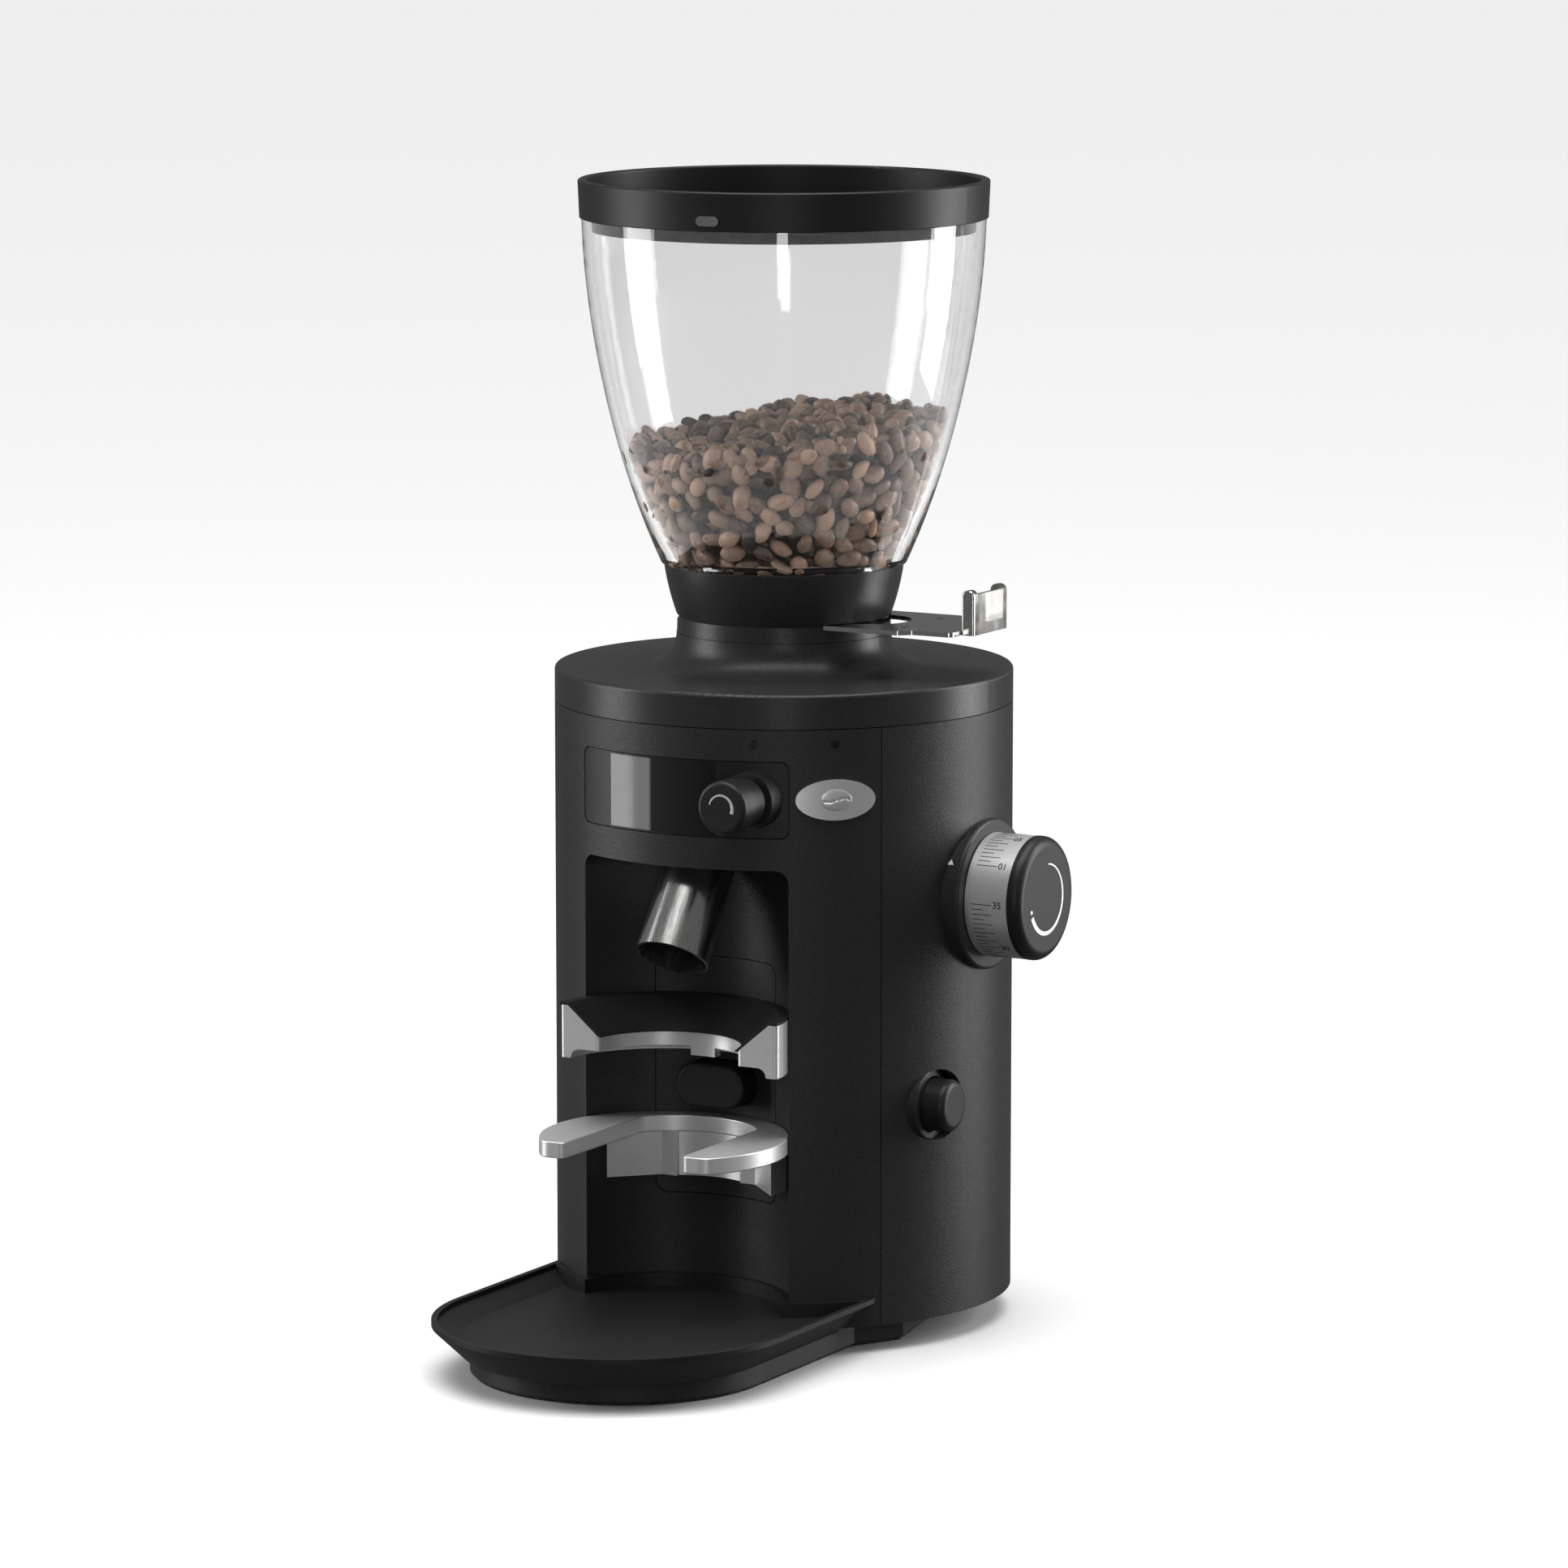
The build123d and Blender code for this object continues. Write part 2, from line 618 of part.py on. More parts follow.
# Half ring that steadies the top of the portafilter, cut off flat at the front
holder_rise = holder_low - holder_leg
cone_low = holder_low + 5
with BuildPart() as holder_ring:
    with BuildSketch(Plane(origin=(0, bay_y, 0), x_dir=(1, 0, 0), z_dir=(0, -1, 0))):
        with BuildLine():
            Polyline((holder_bore, holder_low), (holder_bore, cone_low),
                     (holder_mouth, holder_top), (holder_outer, holder_top),
                     (holder_outer, holder_leg), (holder_outer - holder_rail, holder_leg))
            RadiusArc((holder_outer - holder_rail, holder_leg),
                      (holder_outer - holder_rail - holder_rise, holder_low), -holder_rise)
            Line((holder_outer - holder_rail - holder_rise, holder_low), (holder_bore, holder_low))
        make_face()
    revolve(axis=Axis((0, bay_y, 0), (0, 0, 1)))
    with BuildSketch(Plane.XY.offset(holder_leg)):
        with Locations((0, -holder_cut)):
            Rectangle(4 * bay_radius, 2 * bay_radius, align=(Align.CENTER, Align.MAX))
    extrude(amount=holder_top - holder_leg, mode=Mode.SUBTRACT)
    fillet(holder_ring.edges().filter_by(Axis.Z).filter_by(
        lambda e: abs(e.center().Y + holder_cut) < 0.01), 1.5)
    # Stop tab at the back
    with BuildSketch(Plane.XY.offset(holder_leg)):
        with Locations((0, bay_y)):
            Circle(holder_bore + 4)
            Circle(holder_bore, mode=Mode.SUBTRACT)
        with Locations((0, bay_y + holder_bore)):
            Rectangle(9.7, 12, mode=Mode.INTERSECT)
    extrude(amount=holder_low - holder_leg)
    for angle in holder_screw_angles:
        with BuildSketch(bay_plane(angle, holder_outer - 8, holder_screw_z)):
            Circle(holder_screw_radius + seat)
        extrude(amount=10, mode=Mode.SUBTRACT)
holder_ring.part.label = "holder_ring"
export_step(holder_ring.part, "parts/holder_ring.step")

with BuildPart() as holder_liner:
    with BuildSketch(Plane(origin=(0, bay_y, 0), x_dir=(1, 0, 0), z_dir=(0, -1, 0))):
        with BuildLine():
            Polyline((holder_bore - liner_wall, cone_low), (holder_bore, cone_low),
                     (holder_mouth, holder_top), (holder_outer, holder_top),
                     (holder_outer, holder_top + liner_wall), (holder_mouth - 0.4, holder_top + liner_wall),
                     (holder_bore - liner_wall, cone_low + 0.4), (holder_bore - liner_wall, cone_low))
        make_face()
    revolve(axis=Axis((0, bay_y, 0), (0, 0, 1)))
    with BuildSketch(Plane.XY.offset(holder_low)):
        with Locations((0, -holder_cut)):
            Rectangle(4 * bay_radius, 2 * bay_radius, align=(Align.CENTER, Align.MAX))
    extrude(amount=holder_top - holder_low + 2, mode=Mode.SUBTRACT)
holder_liner.part.label = "holder_liner"
export_step(holder_liner.part, "parts/holder_liner.step")

# Fork that the portafilter's ears rest on
slot_arc_centre = fork_slot_back + fork_slot_back_radius
slot_corner_y = slot_arc_centre - sqrt(fork_slot_back_radius ** 2 - (fork_slot / 2) ** 2)


def slot_outline(half):
    """The slot between the fork's arms, kept to half its width either side."""
    corner = slot_arc_centre - sqrt(fork_slot_back_radius ** 2 - half ** 2)
    with BuildLine() as outline:
        ThreePointArc((-half, -corner), (0, -fork_slot_back), (half, -corner))
        Polyline((half, -corner), (half, -2 * fork_front), (-half, -2 * fork_front), (-half, -corner))
    return outline.line


with BuildPart() as fork:
    with BuildSketch(Plane.XY.offset(fork_low)):
        with Locations((0, bay_y)):
            Circle(holder_outer)
        with Locations((0, -fork_front)):
            Rectangle(4 * bay_radius, 2 * bay_radius, align=(Align.CENTER, Align.MIN), mode=Mode.INTERSECT)
        make_face(slot_outline(fork_slot / 2), mode=Mode.SUBTRACT)
    extrude(amount=fork_thickness)
    front_corners = fork.edges().filter_by(Axis.Z).filter_by(lambda e: abs(e.center().Y + fork_front) < 0.01)
    fillet(front_corners.filter_by(lambda e: abs(e.center().X) > fork_slot / 2 + 1), fork_tip_corner)
    fillet(front_corners.filter_by(lambda e: abs(e.center().X) < fork_slot / 2 + 1), fork_tip_inner_corner)
    fillet(fork.edges().filter_by(Axis.Z).filter_by(
        lambda e: abs(e.center().Y + slot_corner_y) < 0.01), fork_slot_corner)
    fillet(fork.faces().filter_by(Axis.Z).edges(), 0.5)
fork.part.label = "fork"
export_step(fork.part, "parts/fork.step")

with BuildPart() as fork_bracket:
    with BuildSketch(Plane.XY.offset(bracket_low)):
        with Locations((0, bay_y)):
            Circle(holder_outer)
        with BuildLine():
            Polyline((-bracket_half_width, 0), (-bracket_half_width, -bracket_front),
                     (-bracket_face_half_width, -bracket_face), (bracket_face_half_width, -bracket_face),
                     (bracket_half_width, -bracket_front), (bracket_half_width, 0), (-bracket_half_width, 0))
        make_face(mode=Mode.INTERSECT)
        make_face(slot_outline(block_half_width), mode=Mode.SUBTRACT)
    extrude(amount=fork_low - bracket_low)
    for angle in holder_screw_angles:
        with BuildSketch(bay_plane(angle, holder_outer - 7, bracket_screw_z)):
            Circle(holder_screw_radius + seat)
        extrude(amount=9, mode=Mode.SUBTRACT)
fork_bracket.part.label = "fork_bracket"
export_step(fork_bracket.part, "parts/fork_bracket.step")

with BuildPart() as holder_screws:
    for angle in holder_screw_angles:
        for z in (holder_screw_z, bracket_screw_z):
            with BuildSketch(bay_plane(angle, holder_outer - 6, z)):
                Circle(holder_screw_radius)
            extrude(amount=bay_wall + 6 + gap + 0.5)
            with BuildSketch(bay_plane(angle, bay_radius + bay_wall + 0.4, z)):
                Circle(holder_head_radius)
            extrude(amount=1.8)
            with BuildSketch(bay_plane(angle, bay_radius + bay_wall + 1.2, z)):
                RegularPolygon(holder_hex_radius, 6)
            extrude(amount=1.0, mode=Mode.SUBTRACT)
holder_screws.part.label = "holder_screws"
export_step(holder_screws.part, "parts/holder_screws.step")

# ---------------------------------------------------------------- grind dial
escutcheon_face = body_radius + escutcheon_stand
drum_back = escutcheon_face + gap
drum_front = drum_back + drum_width
with BuildPart() as dial_escutcheon:
    with BuildSketch(side_plane(body_radius / 2, 0, dial_z)):
        Circle(escutcheon_radius)
    extrude(amount=escutcheon_face - body_radius / 2)
    fillet(dial_escutcheon.faces().sort_by(Axis.X)[-1].edges(), 1.0)
    with BuildSketch(Plane.XY):
        Circle(body_radius)
    extrude(amount=2 * dial_z, mode=Mode.SUBTRACT)
    with BuildSketch(side_plane(body_radius - 11, 0, dial_z)):
        Circle(12)
    extrude(amount=11.5)
    with BuildSketch(side_plane(body_radius / 2, 0, dial_z)):
        Circle(spindle_radius + running)
    extrude(amount=body_radius, mode=Mode.SUBTRACT)
dial_escutcheon.part.label = "dial_escutcheon"
export_step(dial_escutcheon.part, "parts/dial_escutcheon.step")

with BuildPart() as dial_spindle:
    spindle_inner = 24.0
    with BuildSketch(side_plane(spindle_inner, 0, dial_z)):
        Circle(spindle_radius)
    extrude(amount=drum_front - 2 - spindle_inner)
    with BuildSketch(side_plane(body_radius - 13.5, 0, dial_z)):
        Circle(9)
    extrude(amount=13.5 - 11 - gap)
dial_spindle.part.label = "dial_spindle"
export_step(dial_spindle.part, "parts/dial_spindle.step")

with BuildPart() as scale_drum:
    with BuildSketch(side_plane(drum_back, 0, dial_z)):
        Circle(drum_radius)
    extrude(amount=drum_width)
    with BuildSketch(side_plane(drum_back, 0, dial_z)):
        Circle(drum_radius - 2)
        Circle(10, mode=Mode.SUBTRACT)
    extrude(amount=drum_width - 3, mode=Mode.SUBTRACT)
    with BuildSketch(side_plane(drum_back, 0, dial_z)):
        Circle(spindle_radius)
    extrude(amount=drum_width - 2, mode=Mode.SUBTRACT)
scale_drum.part.label = "scale_drum"
export_step(scale_drum.part, "parts/scale_drum.step")

with BuildPart() as dial_cap:
    with BuildSketch(side_plane(drum_front, 0, dial_z)):
        Circle(drum_radius + 0.1)
    extrude(amount=cap_width)
    fillet(dial_cap.faces().sort_by(Axis.X)[-1].edges(), cap_edge)
dial_cap.part.label = "dial_cap"
export_step(dial_cap.part, "parts/dial_cap.step")

# The spindle's screw draws the wedge in and out; the wedge raises the sleeve of the lower burr
rail_x = 19.0
rail_y = (9.0, 14.5)
rail_low = 161.0
nut_front = spindle_inner + 16


def rail_height(x):
    """Height of the wedge's sloping top."""
    return sleeve_low - seat + wedge_slope * x


with BuildPart() as wedge_block:
    for side in (-1, 1):
        with BuildSketch(Plane(origin=(0, side * rail_y[0], 0), x_dir=(1, 0, 0), z_dir=(0, side, 0))):
            with BuildLine():
                corners = [(-rail_x, rail_low), (nut_front, rail_low), (nut_front, rail_height(nut_front)),
                           (-rail_x, rail_height(-rail_x))]
                Polyline(*[(x, -side * z) for x, z in corners], close=True)
            make_face()
        extrude(amount=rail_y[1] - rail_y[0])
    with BuildSketch(side_plane(spindle_inner, 0, dial_z)):
        with Locations((0, (rail_low + rail_height(spindle_inner)) / 2 - dial_z - 5)):
            Rectangle(2 * rail_y[1], rail_height(spindle_inner) - rail_low + 10)
        Circle(spindle_radius + 4)
    extrude(amount=nut_front - spindle_inner)
    with BuildSketch(side_plane(spindle_inner - 1, 0, dial_z)):
        Circle(spindle_radius + running)
    extrude(amount=nut_front - spindle_inner + 2, mode=Mode.SUBTRACT)
wedge_block.part.label = "wedge_block"
export_step(wedge_block.part, "parts/wedge_block.step")

# ---------------------------------------------------------------- power button
with BuildPart() as power_bezel:
    with BuildSketch(side_plane(power_face_x - 12, power_y, power_z)):
        Circle(power_ring_radius)
        Circle(power_bore, mode=Mode.SUBTRACT)
    extrude(amount=12)
    fillet(power_bezel.faces().sort_by(Axis.X)[-1].edges(), 0.5)
power_bezel.part.label = "power_bezel"
export_step(power_bezel.part, "parts/power_bezel.step")

power_back = power_face_x - 9
with BuildPart() as power_button:
    with BuildSketch(side_plane(power_back, power_y, power_z)):
        Circle(power_button_radius)
    extrude(amount=power_button_reach + 9)
    fillet(power_button.faces().sort_by(Axis.X)[-1].edges(), 2.5)
power_button.part.label = "power_button"
export_step(power_button.part, "parts/power_button.step")

switch_depth = 8.0
with BuildPart() as power_switch:
    switch_back = power_back - power_travel - gap - 2 - switch_depth
    with BuildSketch(side_plane(switch_back, power_y, power_z)):
        Rectangle(16, 20)
    extrude(amount=switch_depth)
    with BuildSketch(side_plane(switch_back, power_y, power_z)):
        Circle(3)
    extrude(amount=switch_depth + 2)
power_switch.part.label = "power_switch"
export_step(power_switch.part, "parts/power_switch.step")

# ---------------------------------------------------------------- grinding chamber
chute_y = -46.0
with BuildPart() as grind_chamber:
    with BuildSketch(Plane.XY.offset(flange_low)):
        Circle(flange_radius)
    extrude(amount=flange_thickness)
    with BuildSketch(Plane.XY.offset(flange_low)):
        Circle(chamber_radius)
    extrude(amount=upper_burr_low - flange_low)
    # Chute block over the spout, then its sloping bore and the opening into the chamber
    with BuildSketch(Plane.XY.offset(flange_low)):
        with Locations((0, chute_y)):
            Rectangle(30, 22)
    extrude(amount=upper_burr_low - flange_low)
    with BuildSketch(Plane(origin=spout_mouth, x_dir=(1, 0, 0), z_dir=spout_up)):
        Circle(spout_mouth_radius + seat)
    with BuildSketch(Plane(origin=spout_mouth, x_dir=(1, 0, 0), z_dir=spout_up).offset(spout_length + 0.5)):
        Circle(spout_top_radius + seat)
    loft(mode=Mode.SUBTRACT)
    with BuildSketch(Plane.XY.offset(chamber_floor)):
        Circle(chamber_bore)
        with Locations((0, chute_y / 2 - 2)):
            Rectangle(18, -chute_y)
    extrude(amount=lower_burr_low + 2 - chamber_floor, mode=Mode.SUBTRACT)
    with BuildSketch(Plane.XY.offset(chamber_floor)):
        Circle(chamber_bore)
    extrude(amount=upper_burr_low - chamber_floor, mode=Mode.SUBTRACT)
    with BuildSketch(Plane.XY.offset(flange_low)):
        Circle(sleeve_radius + running)
    extrude(amount=chamber_floor - flange_low, mode=Mode.SUBTRACT)
    with BuildSketch(Plane.XY.offset(flange_low)):
        with PolarLocations(post_circle, 3, start_angle=post_angles[0]):
            Circle(2.5 + seat)
    extrude(amount=flange_thickness, mode=Mode.SUBTRACT)
grind_chamber.part.label = "grind_chamber"
export_step(grind_chamber.part, "parts/grind_chamber.step")

inlet_top = neck_top - 7.7
with BuildPart() as upper_carrier:
    with BuildSketch(Plane.XZ):
        with BuildLine():
            Polyline((throat_radius + 0.3, upper_burr_top), (burr_radius + 2, upper_burr_top),
                     (burr_radius + 2, upper_burr_low), (chamber_radius, upper_burr_low),
                     (chamber_radius, upper_burr_top + 6), (neck_bore - gap, upper_burr_top + 6),
                     (neck_bore - gap, inlet_top), (throat_radius + 6, inlet_top),
                     (throat_radius + 0.3, inlet_top - 4), (throat_radius + 0.3, upper_burr_top))
        make_face()
    revolve(axis=Axis.Z)
    with BuildSketch(Plane.XY.offset(upper_burr_low)):
        with PolarLocations(burr_screw_circle, 3, start_angle=30):
            Circle(burr_screw_radius + seat)
    extrude(amount=15, mode=Mode.SUBTRACT)
upper_carrier.part.label = "upper_carrier"
export_step(upper_carrier.part, "parts/upper_carrier.step")

with BuildPart() as upper_burr:
    with BuildSketch(Plane.XY.offset(upper_burr_low)):
        Circle(burr_radius)
        Circle(burr_inner, mode=Mode.SUBTRACT)
    extrude(amount=burr_thickness)
    with PolarLocations(0, burr_teeth):
        with Locations(Location((burr_inner + 4.2, 3.0, upper_burr_low), (0, 0, 28))):
            Box(13, 1.2, 3.0, mode=Mode.SUBTRACT)
    with BuildSketch(Plane.XY.offset(upper_burr_low)):
        with PolarLocations(burr_screw_circle, 3, start_angle=30):
            Circle(burr_screw_radius + seat)
    extrude(amount=burr_thickness, mode=Mode.SUBTRACT)
upper_burr.part.label = "upper_burr"
export_step(upper_burr.part, "parts/upper_burr.step")

with BuildPart() as lower_burr:
    with BuildSketch(Plane.XY.offset(lower_burr_low)):
        Circle(burr_radius)
        Circle(burr_inner, mode=Mode.SUBTRACT)
    extrude(amount=burr_thickness)
    with PolarLocations(0, burr_teeth):
        with Locations(Location((burr_inner + 4.2, -3.0, lower_burr_top), (0, 0, -28))):
            Box(13, 1.2, 3.0, mode=Mode.SUBTRACT)
    with BuildSketch(Plane.XY.offset(lower_burr_low)):
        with PolarLocations(burr_screw_circle, 3, start_angle=30):
            Circle(burr_screw_radius + seat)
    extrude(amount=burr_thickness, mode=Mode.SUBTRACT)
lower_burr.part.label = "lower_burr"
export_step(lower_burr.part, "parts/lower_burr.step")

with BuildPart() as upper_burr_screws:
    with BuildSketch(Plane.XY.offset(upper_burr_low + 1)):
        with PolarLocations(burr_screw_circle, 3, start_angle=30):
            Circle(burr_screw_radius)
    extrude(amount=12)
upper_burr_screws.part.label = "upper_burr_screws"
export_step(upper_burr_screws.part, "parts/upper_burr_screws.step")

# Lower burr, its carrier on the shaft, and the sleeve that sets the grinding gap
hub_radius = 8.0
carrier_low = lower_burr_low - 5
sleeve_top = carrier_low - 5
with BuildPart() as lower_burr_carrier:
    with BuildSketch(Plane.XY.offset(sleeve_low + 6)):
        Circle(hub_radius - running)
    extrude(amount=carrier_low - sleeve_low - 6)
    with BuildSketch(Plane.XY.offset(sleeve_top + gap)):
        Circle(12)
    extrude(amount=carrier_low - sleeve_top - gap)
    with BuildSketch(Plane.XY.offset(carrier_low)):
        Circle(burr_radius)
    extrude(amount=5)
    with BuildSketch(Plane.XY.offset(lower_burr_low)):
        Circle(burr_inner - 1)
    extrude(amount=2)
    # Sweeper arms that push the grounds to the chute
    with BuildSketch(Plane.XY.offset(carrier_low)):
        with PolarLocations(burr_radius, 3):
            Rectangle(2 * (chamber_bore - burr_radius) - 2, 5)
    extrude(amount=4)
    with BuildSketch(Plane.XY.offset(carrier_low)):
        with PolarLocations(burr_screw_circle, 3, start_angle=30):
            Circle(burr_screw_radius + seat)
    extrude(amount=5, mode=Mode.SUBTRACT)
    with BuildSketch(Plane.XY.offset(sleeve_low)):
        Circle(shaft_radius + running)
    extrude(amount=60, mode=Mode.SUBTRACT)
lower_burr_carrier.part.label = "lower_burr_carrier"
export_step(lower_burr_carrier.part, "parts/lower_burr_carrier.step")

with BuildPart() as lower_burr_screws:
    with BuildSketch(Plane.XY.offset(carrier_low + 0.5)):
        with PolarLocations(burr_screw_circle, 3, start_angle=30):
            Circle(burr_screw_radius)
    extrude(amount=burr_thickness + 3.5)
lower_burr_screws.part.label = "lower_burr_screws"
export_step(lower_burr_screws.part, "parts/lower_burr_screws.step")

thrust_height = 6.0
with BuildPart() as lift_sleeve:
    with BuildSketch(Plane.XZ):
        with BuildLine():
            top = sleeve_top
            low = sleeve_low - 2
            Polyline((hub_radius + 1, low), (sleeve_radius, low), (sleeve_radius, top),
                     (hub_radius + 4, top), (hub_radius + 4, top - thrust_height),
                     (hub_radius + 1, top - thrust_height), (hub_radius + 1, low))
        make_face()
    revolve(axis=Axis.Z)
    # The foot is sloped to ride on the wedge
    with BuildSketch(Plane.XZ):
        with BuildLine():
            Polyline((-20, sleeve_low - 5), (20, sleeve_low - 5), (20, sleeve_low + 20 * wedge_slope),
                     (-20, sleeve_low - 20 * wedge_slope), (-20, sleeve_low - 5))
        make_face()
    extrude(amount=20, both=True, mode=Mode.SUBTRACT)
lift_sleeve.part.label = "lift_sleeve"
export_step(lift_sleeve.part, "parts/lift_sleeve.step")

with BuildPart() as thrust_bearing:
    with BuildSketch(Plane.XY.offset(sleeve_top - thrust_height)):
        Circle(hub_radius + 4)
        Circle(hub_radius, mode=Mode.SUBTRACT)
    extrude(amount=thrust_height)
thrust_bearing.part.label = "thrust_bearing"
export_step(thrust_bearing.part, "parts/thrust_bearing.step")

# ---------------------------------------------------------------- motor
with BuildPart() as motor_mount:
    with BuildSketch(Plane.XY.offset(motor_high)):
        Circle(flange_radius)
        with Locations((0, bay_y)):
            Circle(bay_radius + bay_wall + 1, mode=Mode.SUBTRACT)
        with PolarLocations(post_circle, 3, start_angle=post_angles[0]):
            Circle(2.5 + seat, mode=Mode.SUBTRACT)
    extrude(amount=mount_thickness)
    with BuildSketch(Plane.XY.offset(motor_high)):
        Circle(bearing_radius)
    extrude(amount=mount_thickness, mode=Mode.SUBTRACT)
motor_mount.part.label = "motor_mount"
export_step(motor_mount.part, "parts/motor_mount.step")

# Drawn can with a closed, slotted lower end that holds the lower bearing
with BuildPart() as motor_can:
    with BuildSketch(Plane.XY.offset(motor_low)):
        Circle(motor_radius)
    extrude(amount=motor_high - motor_low)
    with BuildSketch(Plane.XY.offset(motor_low + 3)):
        Circle(motor_radius - motor_wall)
    extrude(amount=motor_high - motor_low, mode=Mode.SUBTRACT)
    with BuildSketch(Plane.XY.offset(motor_low)):
        with PolarLocations(22, 6):
            SlotCenterToCenter(8, 5, rotation=90)
    extrude(amount=3, mode=Mode.SUBTRACT)
    with BuildSketch(Plane.XY.offset(motor_low - 4)):
        Circle(bearing_radius + 2.5)
    extrude(amount=8)
    with BuildSketch(Plane.XY.offset(motor_low - 4)):
        Circle(bearing_radius)
    extrude(amount=8, mode=Mode.SUBTRACT)
motor_can.part.label = "motor_can"
export_step(motor_can.part, "parts/motor_can.step")

bearing_levels = (motor_low - 4 + 0.5, motor_high + mount_thickness - bearing_width)
with BuildPart() as motor_bearings:
    for level in bearing_levels:
        with BuildSketch(Plane.XY.offset(level)):
            Circle(bearing_radius)
            Circle(shaft_radius + running, mode=Mode.SUBTRACT)
        extrude(amount=min(bearing_width, mount_thickness + 2))
motor_bearings.part.label = "motor_bearings"
export_step(motor_bearings.part, "parts/motor_bearings.step")

stator_low = motor_low + 18
stator_height = 34.0
with BuildPart() as motor_stator:
    with BuildSketch(Plane.XY.offset(stator_low)):
        Circle(motor_radius - motor_wall)
        Circle(19.5, mode=Mode.SUBTRACT)
        with PolarLocations(24, 4, start_angle=45):
            SlotCenterToCenter(8, 4, rotation=90, mode=Mode.SUBTRACT)
    extrude(amount=stator_height)
motor_stator.part.label = "motor_stator"
export_step(motor_stator.part, "parts/motor_stator.step")

with BuildPart() as motor_rotor:
    with BuildSketch(Plane.XY.offset(stator_low)):
        Circle(19)
        Circle(shaft_radius, mode=Mode.SUBTRACT)
        with PolarLocations(17.5, 12):
            Rectangle(4, 1.6, mode=Mode.SUBTRACT)
    extrude(amount=stator_height)
    with BuildSketch(Plane.XY.offset(stator_low - 8)):
        Circle(11)
        Circle(shaft_radius, mode=Mode.SUBTRACT)
    extrude(amount=8)
motor_rotor.part.label = "motor_rotor"
export_step(motor_rotor.part, "parts/motor_rotor.step")

with BuildPart() as motor_shaft:
    with BuildSketch(Plane.XY.offset(motor_low - 3)):
        Circle(shaft_radius)
    extrude(amount=lower_burr_low + 3 - motor_low)
motor_shaft.part.label = "motor_shaft"
export_step(motor_shaft.part, "parts/motor_shaft.step")

# ---------------------------------------------------------------- electrics in the base
with BuildPart() as control_board:
    with BuildSketch(Plane.XY.offset(deck_top + 4)):
        with Locations((0, 18)):
            Rectangle(56, 44)
    extrude(amount=1.6)
    with BuildSketch(Plane.XY.offset(deck_top + 5.6)):
        with Locations((-16, 24)):
            Rectangle(16, 20)
        with Locations((14, 28)):
            Rectangle(22, 12)
        with Locations((12, 8)):
            Rectangle(14, 10)
    extrude(amount=12)
    with BuildSketch(Plane.XY.offset(deck_top)):
        with Locations((0, 18)):
            with GridLocations(48, 36, 2, 2):
                Circle(2.5)
    extrude(amount=4)
control_board.part.label = "control_board"
export_step(control_board.part, "parts/control_board.step")

inlet_face = body_radius - 0.5
with BuildPart() as power_inlet:
    inlet_plane = Plane(origin=(0, inlet_face - 22, inlet_z), x_dir=(-1, 0, 0), z_dir=(0, 1, 0))
    with BuildSketch(inlet_plane):
        RectangleRounded(inlet_width, inlet_height, 2)
    extrude(amount=22)
    with BuildSketch(inlet_plane.offset(22 - 15)):
        with BuildLine():
            Polyline((-11, -7.5), (11, -7.5), (11, 3.5), (7.5, 7.5), (-7.5, 7.5), (-11, 3.5), (-11, -7.5))
        make_face()
    extrude(amount=16, mode=Mode.SUBTRACT)
power_inlet.part.label = "power_inlet"
export_step(power_inlet.part, "parts/power_inlet.step")

with BuildPart() as inlet_pins:
    for x, z in ((-7, -2), (7, -2), (0, 2)):
        with BuildSketch(inlet_plane.offset(22 - 15)):
            with Locations((x, z)):
                Rectangle(2, 4)
        extrude(amount=12)
inlet_pins.part.label = "inlet_pins"
export_step(inlet_pins.part, "parts/inlet_pins.step")

# ---------------------------------------------------------------- hopper
collar_low = neck_top + 0.15
socket_radius = collar_top_radius - collar_rim
funnel_low = blade_low + blade_thickness + gap + 1.4
with BuildPart() as hopper_collar:
    with BuildSketch(Plane.XZ):
        with BuildLine():
            Line((neck_radius - 0.1, collar_low), (neck_radius - 0.3, collar_low + collar_straight))
            RadiusArc((neck_radius - 0.3, collar_low + collar_straight), (collar_top_radius, collar_top),
                      -collar_curve)
            Polyline((collar_top_radius, collar_top), (socket_radius, collar_top),
                     (socket_radius, collar_top - socket_depth),
                     (socket_radius - 3.4, collar_top - socket_depth),
                     (throat_radius, funnel_low), (throat_radius, inlet_top + gap),
                     (neck_bore - gap, inlet_top + gap), (neck_bore - gap, collar_low),
                     (neck_radius - 0.1, collar_low))
        make_face()
    revolve(axis=Axis.Z)
    with BuildSketch(Plane.XY.offset(blade_low - gap)):
        Rectangle(4 * neck_radius, 2 * (blade_half_width + gap))
    extrude(amount=blade_thickness + 2 * gap, mode=Mode.SUBTRACT)
hopper_collar.part.label = "hopper_collar"
export_step(hopper_collar.part, "parts/hopper_collar.step")

shell_shape = ((0.24, 0.408), (0.526, 0.741), (0.813, 0.943))
hopper_rise = hopper_top - hopper_base
hopper_spread = hopper_top_radius - hopper_base_radius


def shell_points(inset, lift):
    """Points up the bowl's side, moved inwards by inset; the lowest one is raised by lift."""
    points = [(hopper_base_radius - inset, hopper_base + lift)]
    points += [(hopper_base_radius - inset + w * hopper_spread, hopper_base + h * hopper_rise)
               for h, w in shell_shape]
    return points + [(hopper_top_radius - inset, hopper_top)]


